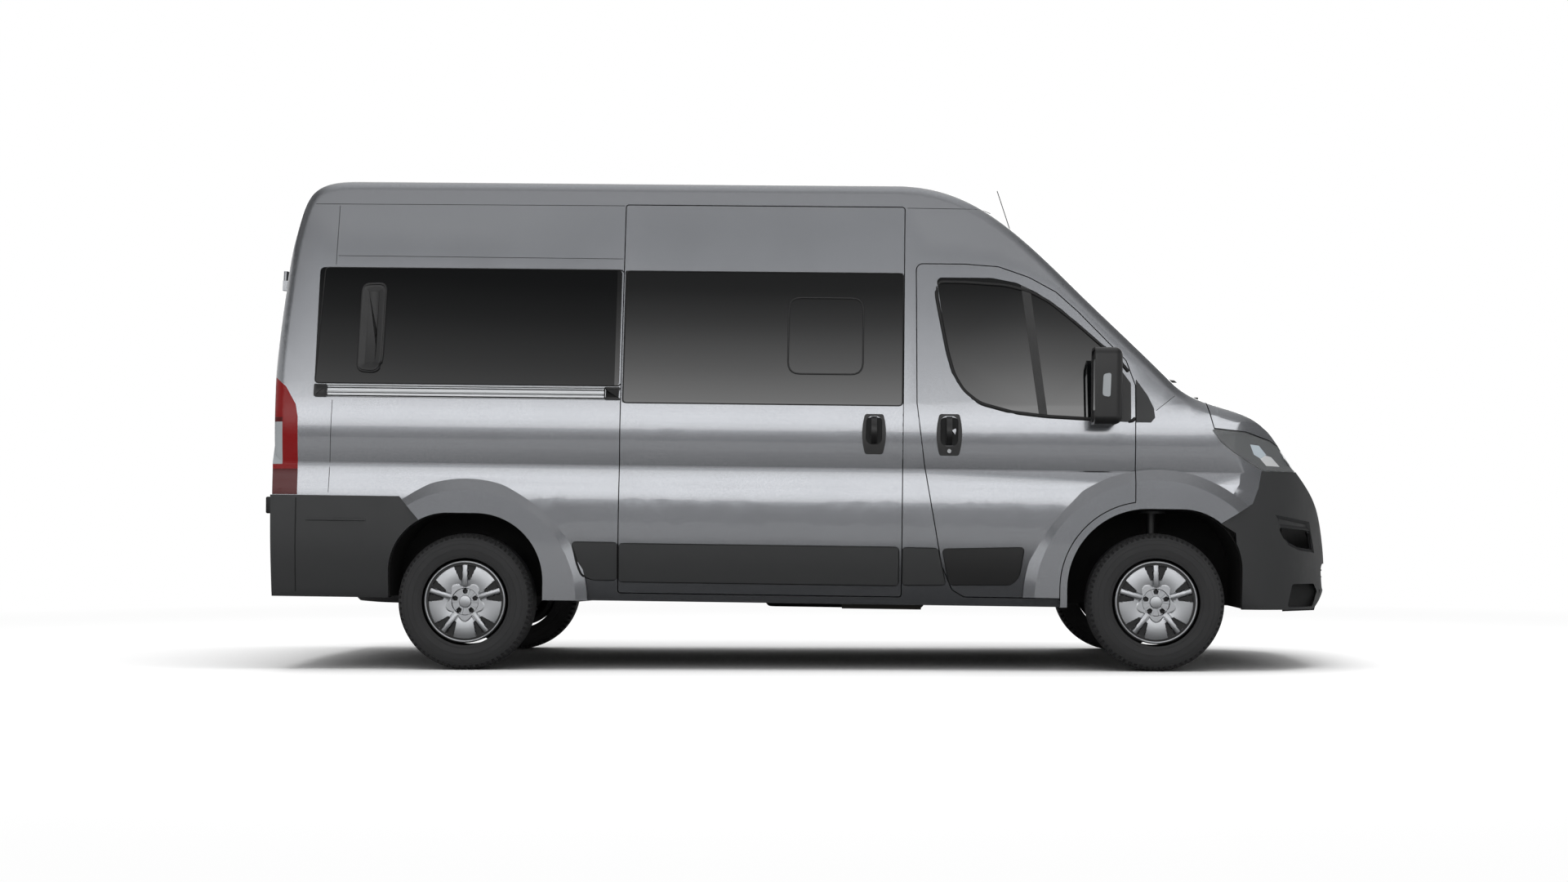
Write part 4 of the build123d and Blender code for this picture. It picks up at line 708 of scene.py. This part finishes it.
cover_rings = [(face_radius * i / face_rings, 0.0) for i in range(1, face_rings + 1)]
cover_rings += [(0.2065, 0.0), (0.207, -0.02)]
on_face = 0.2062     # just outside the face, and inside the wall that runs back from it
on_wall = 0.2068
for corner, side in corners:
    centre = hub_of(corner)
    cover = spun(cover_rings, centre, side, 300)
    inner = [
        edge for edge in cover.edges
        if edge.is_boundary and (edge.verts[0].co - centre).length < 2 * face_radius / face_rings
    ]
    bmesh.ops.contextual_create(cover, geom=inner)
    for vertex in cover.verts:
        radius, angle = round_axle(vertex.co - centre)
        if radius < on_face:
            vertex.co.y = centre.y + side * cover_height(radius, angle)[0]
        else:
            vertex.co.y = centre.y + side * (0.082 if radius < on_wall else 0.06)
    for face in cover.faces:
        radius, angle = round_axle(face.calc_center_median() - centre)
        heights = [abs(vertex.co.y - centre.y) for vertex in face.verts]
        opened = radius < on_face and cover_height(radius, angle)[1]
        # steep walls down to a floor are black as painted shade; the floors are the black wheel behind
        wall = max(heights) - min(heights) > 0.008 and min(heights) < 0.081
        face.material_index = 1 if opened or wall else 0
    bmesh.ops.recalc_face_normals(cover, faces=cover.faces)
    put("wheel_cover_" + corner, cover, [cover_silver, rim_paint], "wheel_" + corner, 40)
    dressed("wheel_" + corner, "steel_wheel_" + corner, rim_paint, 35)
dressed("spare_wheel", "spare_wheel_dressed", rubber_compound, 35)

# ---------------------------------------------------------------- head lamps
# A clear polycarbonate lens is bonded over a dark bezel.  In it sit two projector lenses with chromed
# rings, an amber indicator at the inner end, and a bright reflector with a lens at the outer end.
lens_clear = clear_glass("clear_polycarbonate", "EEF2F4", 0.12)
bezel = moulded_plastic("dark_lamp_bezel", "1B1D1F", 0.3)
chrome = satin_metal("vacuum_chromed_reflector", "F2F3F4", 0.3)
amber = clear_glass("amber_polycarbonate", "E8882A", 0.9)


def frosted(name, colour):
    """Moulded optic in one colour under a clear gloss, with fine ribs"""
    material, shader = new_material(name, Base_Color=linear(colour), Roughness=0.12, IOR=1.33)
    place = add_node(material, "ShaderNodeTexCoord")
    ribs = add_node(
        material, "ShaderNodeTexWave", {"Scale": 60.0, "Distortion": 0.0}, {"Vector": (place, "Object")},
        bands_direction="Z",
    )
    emboss(material, shader, 0.12, 0.0006, ribs, "Fac")
    return material


projector_glass = frosted("projector_lens_glass", "B8C4CC")
housing = merged("headlamps")
bmesh.ops.recalc_face_normals(housing, faces=housing.faces)
lens_gap = 0.007     # the bezel lies this far behind the lens
for vertex in housing.verts:
    vertex.co -= vertex.normal * lens_gap
blade = [(2.165, 1.195), (2.225, 1.195), (2.325, 1.095), (2.425, 1.075), (2.425, 1.045), (2.30, 1.05)]
eye = [(2.215, 1.155), (2.26, 1.150), (2.30, 1.105), (2.27, 1.085), (2.235, 1.105)]
for outline, finish in ((blade, 1), (eye, 2)):
    cut_along(housing, outline)
    for face in housing.faces:
        if within(face.calc_center_median(), outline) and abs(face.normal.y) > 0.2:
            face.material_index = finish
put("headlamp_bezels", housing, [bezel, chrome, projector_glass], "body", 30)
dressed("headlamps", "headlamp_lenses", lens_clear)
lamp_tree = tree_of(["headlamps"])


def ring_at(name, centre, normal, radius, bar, material, body):
    """A round ring of bar about a normal"""
    turn = normal.to_track_quat("Z", "Y").to_matrix()
    points = [
        centre + turn @ Vector((radius * math.cos(a), radius * math.sin(a), 0))
        for a in (math.tau * i / 48 for i in range(48))
    ]
    return bead(name, points, bar, material, body, True)


# distance from the middle, height and radius of each round optic, and its finish
optics = (
    (0.872, 1.098, 0.042, projector_glass), (0.765, 1.082, 0.038, projector_glass),
    (0.665, 1.068, 0.034, amber),
)
for hand, side in hands:
    for number, (y, z, size, finish) in enumerate(optics):
        start = level @ Vector((3.0, side * y, z))
        spot, normal = lamp_tree.ray_cast(start, Vector((-1, 0, 0)), 1.5)[:2]
        seat = spot - normal * 0.0055
        tag = "%s_%d" % (hand, number)
        ring_at("lamp_ring_" + tag, seat, normal, size, 0.0035, chrome, "body")
        dome = bmesh.new()
        bmesh.ops.create_uvsphere(dome, u_segments=48, v_segments=24, radius=size)
        bmesh.ops.scale(dome, vec=(1, 1, 0.12), verts=dome.verts)
        frame_turn = normal.to_track_quat("Z", "Y").to_matrix().to_4x4()
        bmesh.ops.transform(dome, matrix=Matrix.Translation(seat) @ frame_turn, verts=dome.verts)
        put("lamp_projector_" + tag, dome, [finish], "body", 30)

# ---------------------------------------------------------------- tail lamps
# Tall red lenses wrap round the rear corners: bright red at the top, a clear band for the reversing
# and indicator lamps halfway down the rear face, and a darker red reflector at the foot.
bright_red = frosted("bright_red_polycarbonate", "7C0204")
dark_red = frosted("dark_red_reflector", "4A0405")
clear_band = frosted("clear_ribbed_polycarbonate", "9EA2A5")
lamp = merged("tail_lamps")
low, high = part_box("tail_lamps")
tall = high.z - low.z
for share in (0.10, 0.34, 0.38, 0.74, 0.78):
    cut_through(lamp, (0, 0, high.z - tall * share), (0, 0, 1))
seam_x = low.x + (high.x - low.x) * 0.42
cut_through(lamp, (seam_x, 0, 0), (1, 0, 0))
for face in lamp.faces:
    place = face.calc_center_median()
    down = (high.z - place.z) / tall
    if 0.38 < down < 0.74 and place.x < seam_x:
        face.material_index = 2
    elif down > 0.78 or 0.34 < down < 0.38 and place.x < seam_x:
        face.material_index = 1
tail_piece = put("tail_lamp_lenses", lamp, [bright_red, dark_red, clear_band], "body", 28)
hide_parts("tail_lamps")

# ---------------------------------------------------------------- mirrors and aerial
# Each mirror head holds a plane silvered glass behind and a clear side lamp on its outer face.  The
# aerial is a thin whip with a rubber foot, screwed to the front edge of the roof.
mirror_silver = satin_metal("silvered_mirror_glass", "EFF1F2", 0.02)
for hand, side in hands:
    trim_tree = tree_of(["cab_trim_" + hand])

    def on_mirror(x, z, out):
        """The outer face of the mirror head at one place along and up the level body"""
        hit = trim_tree.ray_cast(
            level @ Vector((x, side * beside_van, z)), Vector((0, -side, 0)), 1.0
        )[0]
        return hit + Vector((0, side * out, 0))

    def behind_mirror(y, z, out):
        """The rear face of the mirror head at one place across and up"""
        hit = trim_tree.ray_cast(level @ Vector((0.9, side * y, z)), Vector((1, 0, 0)), 1.0)[0]
        return hit - Vector((out, 0, 0))

    door = "cab_door_" + hand
    lamp_outline = rounded([(1.452, 1.375), (1.490, 1.368), (1.494, 1.487), (1.456, 1.480)], 0.014)
    plate("mirror_side_lamp_" + hand, lamp_outline, on_mirror, clear_band, door, "lamp_lens", 0.004)
    glass_outline = oblong(1.115, 1.225, 1.30, 1.55, 0.03)
    plate("mirror_glass_" + hand, glass_outline, behind_mirror, mirror_silver, door, "clear_glass", 0.003)
above = whole_van.ray_cast(Vector((1.15, 0, 3.0)), Vector((0, 0, -1)), 2.0)[0]
aerial_tip = Vector((1.041, 0.0, 2.543))
whip = [above - Vector((0, 0, 0.004)), above.lerp(aerial_tip, 0.5), aerial_tip]
bead("aerial_whip", whip, 0.0022, black_plastic, "body")
foot = bmesh.new()
bmesh.ops.create_cone(
    foot, cap_ends=True, segments=32, radius1=0.02, radius2=0.006, depth=0.03,
    matrix=Matrix.Translation(above + Vector((0, 0, 0.010))),
)
put("aerial_foot", foot, [rubber], "body", 40)

# ---------------------------------------------------------------- number plates and rear grip
# Bare white pressed-aluminium plates without characters are screwed to the front bumper and to the
# left rear door, and the right rear door has a moulded grip beside the middle joint.
bare_plate = moulded_plastic("bare_plate_white", "D9DADB", 0.35, 2.0)


def from_front(y, z, out):
    """A place ahead of the bumper's foremost line, which is bowed while the plate is flat"""
    hit = whole_van.ray_cast(level @ Vector((3.2, 0, z)), Vector((-1, 0, 0)), 2.0)[0]
    return Vector((hit.x + out, y, hit.z))


def from_rear(y, z, out):
    """A place on the rear doors or the bumper below them"""
    hit = whole_van.ray_cast(level @ Vector((-3.2, y, z)), Vector((1, 0, 0)), 2.0)[0]
    return Vector((hit.x - out, hit.y, hit.z))


sheet = (0.004, 0.008, 0.001)     # how far a plate stands out, its rim and its dish
grip = (0.022, 0.012, 0.006)
front_place = oblong(-0.26, 0.26, 0.595, 0.705, 0.01, 3)
plate("front_plate_blank", front_place, from_front, bare_plate, "body", "trim_plastic", *sheet)
rear_place = oblong(0.16, 0.68, 0.93, 1.04, 0.01, 3)
plate("rear_plate_blank", rear_place, from_rear, bare_plate, "rear_door_left", "trim_plastic", *sheet)
grip_place = oblong(-0.20, -0.04, 1.10, 1.16, 0.018, 3)
plate("rear_door_grip", grip_place, from_rear, black_plastic, "rear_door_right", "black_plastic", *grip)

# ---------------------------------------------------------------- seats
# Foam cushions and backs in a dark woven cloth on black plastic bases: a single driver's seat, a double
# passenger seat and a bench for three.  The foam is puffed by a short cloth simulation, and the sewn
# channels are pressed into it afterwards.


def woven_cloth():
    """Charcoal flat-weave cloth with 1.6 mm threads, a soft sheen and wandering tone"""
    material, shader = new_material(
        "charcoal_woven_cloth", Roughness=0.9, Sheen_Weight=0.4, Base_Color=linear("2E3033")
    )
    place = add_node(material, "ShaderNodeTexCoord")
    cloud = add_node(
        material, "ShaderNodeTexNoise", {"Scale": 9.0, "Detail": 4.0}, {"Vector": (place, "Object")}
    )
    tone = add_node(material, "ShaderNodeValToRGB", links={"Fac": (cloud, "Fac")})
    tone.color_ramp.elements[0].color = linear("26282A")
    tone.color_ramp.elements[1].color = linear("3A3C40")
    join(material, tone, "Color", shader, "Base Color")
    threads = []
    for direction in ("X", "Z"):
        threads.append(add_node(
            material, "ShaderNodeTexWave", {"Scale": 200.0, "Distortion": 0.4},
            {"Vector": (place, "Object")}, bands_direction=direction,
        ))
    weave = add_node(
        material, "ShaderNodeMath", links={0: (threads[0], "Fac"), 1: (threads[1], "Fac")},
        operation="MULTIPLY",
    )
    emboss(material, shader, 0.35, 0.0008, weave, "Value")
    return material


seat_cloth = woven_cloth()
cushion_foot = 0.905     # height of the bases' tops above the ground, on the level body
most_puff = 0.014        # metres that the foam may move
channel_from_middle = 0.145
channel_half = 0.014
channel_depth = 0.009
for seats, places in (("cab_seats", (0.45, -0.165, -0.615)), ("crew_bench", (-0.38, 0.06, 0.50))):
    shape = merged(seats)
    for vertex in shape.verts:
        vertex.co -= vertex.normal * 0.006
    pad = solid_of(seats + "_padded", shape)
    bpy.context.view_layer.objects.active = pad
    remesh = pad.modifiers.new("remesh", "REMESH")
    remesh.mode = "VOXEL"
    remesh.voxel_size = 0.014
    bpy.ops.object.modifier_apply(modifier="remesh")
    upright = level.inverted()
    held = pad.vertex_groups.new(name="held")
    low_ones = [v.index for v in pad.data.vertices if (upright @ v.co).z < cushion_foot + 0.01]
    held.add(low_ones, 1.0, "REPLACE")
    before = [v.co.copy() for v in pad.data.vertices]
    cloth = pad.modifiers.new("cloth", "CLOTH")
    cloth.settings.vertex_group_mass = "held"
    cloth.settings.use_pressure = True
    cloth.settings.uniform_pressure_force = 4.0
    cloth.settings.effector_weights.gravity = 0.0
    cloth.point_cache.frame_start = 1
    cloth.point_cache.frame_end = 14
    for frame_number in range(1, 15):
        bpy.context.scene.frame_set(frame_number)
    bpy.ops.object.modifier_apply(modifier="cloth")
    bpy.context.scene.frame_set(1)
    for vertex, start in zip(pad.data.vertices, before):
        moved = vertex.co - start
        if moved.length > most_puff:
            vertex.co = start + moved.normalized() * most_puff
        here = upright @ vertex.co
        if here.z > cushion_foot + 0.02:
            normal = vertex.normal
            for place in places:
                for channel in (-channel_from_middle, channel_from_middle):
                    near = abs(here.y - place - channel)
                    if near < channel_half:
                        vertex.co -= normal * channel_depth * (1 - near / channel_half)
    for material in (seat_cloth, black_plastic):
        pad.data.materials.append(material)
    for face in pad.data.polygons:
        face.use_smooth = True
        face.material_index = 1 if (upright @ face.center).z < cushion_foot else 0
    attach(pad, "body")
    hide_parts(seats)

# ---------------------------------------------------------------- cab fittings and the underside
# The dashboard is grained polypropylene, the steering wheel foamed leather grain, and the floor a
# grained rubber mat.  The chassis rails, axle and carrier are dip-painted black, and the knuckles, bare
# castings, take the same black as painted shade under the van.  The engine block is a bare casting,
# and the exhaust is dull stainless steel.
dash_grain = moulded_plastic("dashboard_grain", "313336", 0.55, 1.6)
rim_grain = moulded_plastic("foamed_rim_grain", "1C1C1D", 0.45, 0.9)
mat = moulded_plastic("rubber_floor_mat", "262728", 0.8, 5.0, 0.0015)
black_dip_and_painted_shade = moulded_plastic("dipped_chassis_paint_and_painted_shade", "17181A", 0.45, 3.0)
cast_iron = moulded_plastic("sand_cast_iron", "4B4A48", 0.75, 1.8, 0.0008)
stainless = satin_metal("dull_stainless_steel", "8B8680", 0.42)
chassis = ("underframe", "rear_frame", "front_subframe", "rear_axle", "radiator_carrier")
for finish, slot, fittings in (
    (dash_grain, "trim_plastic", ["dashboard"]), (rim_grain, "trim_plastic", ["steering_wheel"]),
    (mat, "floor_mat", ["floor"]), (black_dip_and_painted_shade, "chassis_paint", chassis),
    (cast_iron, "cast_iron", ["engine_block"]),
    # the bare-cast knuckles take the same black as painted shade under the van
    (black_dip_and_painted_shade, "cast_iron", ["knuckle_right", "knuckle_left"]), (stainless, "steel", ["exhaust"]),
):
    for fitting in fittings:
        dressed(fitting, fitting + "_finished", finish, 32)

# ---------------------------------------------------------------- studio
# A pale studio floor that runs out into white, a ring of soft light around the van with a dark
# horizon below it, one large ceiling lamp, and a camera level with the lower windows.  In reflections
# the floor is a glow, nearly black near the van and paler further off: a painted shadow.
white_from = 3.4    # metres from the van's middle where the floor starts to fade into white
white_to = 9.0
brightest = 3.2     # the world's strength where its ramps are white
floor_shape = bmesh.new()
bmesh.ops.create_grid(floor_shape, x_segments=1, y_segments=1, size=60)
floor_paint = bpy.data.materials.new("pale_studio_floor")
floor_paint.use_nodes = True
floor_paint.node_tree.nodes.clear()
place = add_node(floor_paint, "ShaderNodeTexCoord")
reach = add_node(
    floor_paint, "ShaderNodeVectorMath", links={"Vector": (place, "Object")}, operation="LENGTH"
)
fade = add_node(
    floor_paint, "ShaderNodeMapRange",
    {"From Min": white_from, "From Max": white_to, "To Min": 0.0, "To Max": 1.0},
    {"Value": (reach, "Value")},
)
rays = add_node(floor_paint, "ShaderNodeLightPath")
# what glossy rays see of the floor: painted shadow near the van, paler further off
reflected_floor_shade = add_node(
    floor_paint, "ShaderNodeMapRange",
    {"From Min": 2.2, "From Max": 12.0, "To Min": 0.03, "To Max": 0.85},
    {"Value": (reach, "Value")},
)
pale = add_node(floor_paint, "ShaderNodeBsdfDiffuse", {"Color": linear("F4F4F4")})
glow = add_node(floor_paint, "ShaderNodeEmission")
dim = add_node(floor_paint, "ShaderNodeEmission", links={"Strength": (reflected_floor_shade, "Result")})
blend = add_node(
    floor_paint, "ShaderNodeMixShader",
    links={"Fac": (fade, "Result"), 1: (pale, "BSDF"), 2: (glow, "Emission")},
)
split = add_node(
    floor_paint, "ShaderNodeMixShader",
    links={"Fac": (rays, "Is Glossy Ray"), 1: (blend, "Shader"), 2: (dim, "Emission")},
)
add_node(floor_paint, "ShaderNodeOutputMaterial", links={"Surface": (split, "Shader")})
studio_floor = solid_of("studio_floor", floor_shape, [floor_paint])

world = bpy.data.worlds.new("studio")
bpy.context.scene.world = world
world.use_nodes = True
world.node_tree.nodes.clear()
heading = add_node(world, "ShaderNodeTexCoord")
parts = add_node(world, "ShaderNodeSeparateXYZ", links={"Vector": (heading, "Generated")})
strips = add_node(world, "ShaderNodeValToRGB", links={"Fac": (parts, "Z")})
dome = add_node(world, "ShaderNodeValToRGB", links={"Fac": (parts, "Z")})
strip_steps = (
    (0.0, 0.30), (0.05, 0.30), (0.085, 0.55), (0.10, 3.1), (0.295, 3.1), (0.325, 1.3), (0.345, 0.5),
    (0.36, 0.2), (0.385, 0.15), (0.41, 0.9), (0.62, 0.65), (1.0, 1.0),
)
dome_steps = ((0.0, 0.10), (0.3, 0.28), (0.6, 0.7), (1.0, 1.15))
for ramp, steps in ((strips, strip_steps), (dome, dome_steps)):
    while len(ramp.color_ramp.elements) < len(steps):
        ramp.color_ramp.elements.new(0.5)
    for element, (position, strength) in zip(ramp.color_ramp.elements, steps):
        element.position = position
        element.color = [strength / brightest] * 3 + [1]
sky_rays = add_node(world, "ShaderNodeLightPath")
along = add_node(world, "ShaderNodeMath", links={0: (parts, "X")}, operation="ABSOLUTE")
dimmed = add_node(     # the strips fade towards the van's two ends
    world, "ShaderNodeMapRange", {"From Min": 0.28, "From Max": 0.62, "To Min": brightest, "To Max": 0.9},
    {"Value": (along, "Value")},
)
strip_light = add_node(
    world, "ShaderNodeBackground", links={"Color": (strips, "Color"), "Strength": (dimmed, "Result")}
)
dome_light = add_node(
    world, "ShaderNodeBackground", {"Strength": brightest}, {"Color": (dome, "Color")}
)
studio_light = add_node(
    world, "ShaderNodeMixShader",
    links={
        "Fac": (sky_rays, "Is Glossy Ray"), 1: (dome_light, "Background"), 2: (strip_light, "Background"),
    },
)
backdrop = add_node(world, "ShaderNodeBackground", {"Color": (1, 1, 1, 1), "Strength": 1.0})
looking = add_node(
    world, "ShaderNodeMath", links={0: (sky_rays, "Is Camera Ray"), 1: (sky_rays, "Is Transmission Ray")},
    operation="MAXIMUM",
)
either = add_node(
    world, "ShaderNodeMixShader",
    links={"Fac": (looking, "Value"), 1: (studio_light, "Shader"), 2: (backdrop, "Background")},
)
add_node(world, "ShaderNodeOutputWorld", links={"Surface": (either, "Shader")})

ceiling = bpy.data.lights.new("ceiling_lamp", "AREA")
ceiling.shape = "RECTANGLE"
ceiling.size = 9
ceiling.size_y = 5
ceiling.energy = 560
ceiling_lamp = in_scene("ceiling_lamp", ceiling)
ceiling_lamp.location = (0, -0.6, 7)
ceiling_lamp.visible_glossy = False

camera_data = bpy.data.cameras.new("camera")
camera_data.lens = 50.99
camera_data.sensor_width = 36
camera = in_scene("camera", camera_data)
camera.location = (0.279, -12.088, 0.752)
yaw = math.radians(-1.90)
pitch = math.radians(2.03)
look = Vector((math.sin(yaw) * math.cos(pitch), math.cos(yaw) * math.cos(pitch), math.sin(pitch)))
camera.rotation_euler = look.to_track_quat("-Z", "Y").to_euler()
bpy.context.scene.camera = camera
bpy.context.scene.view_settings.view_transform = "Standard"
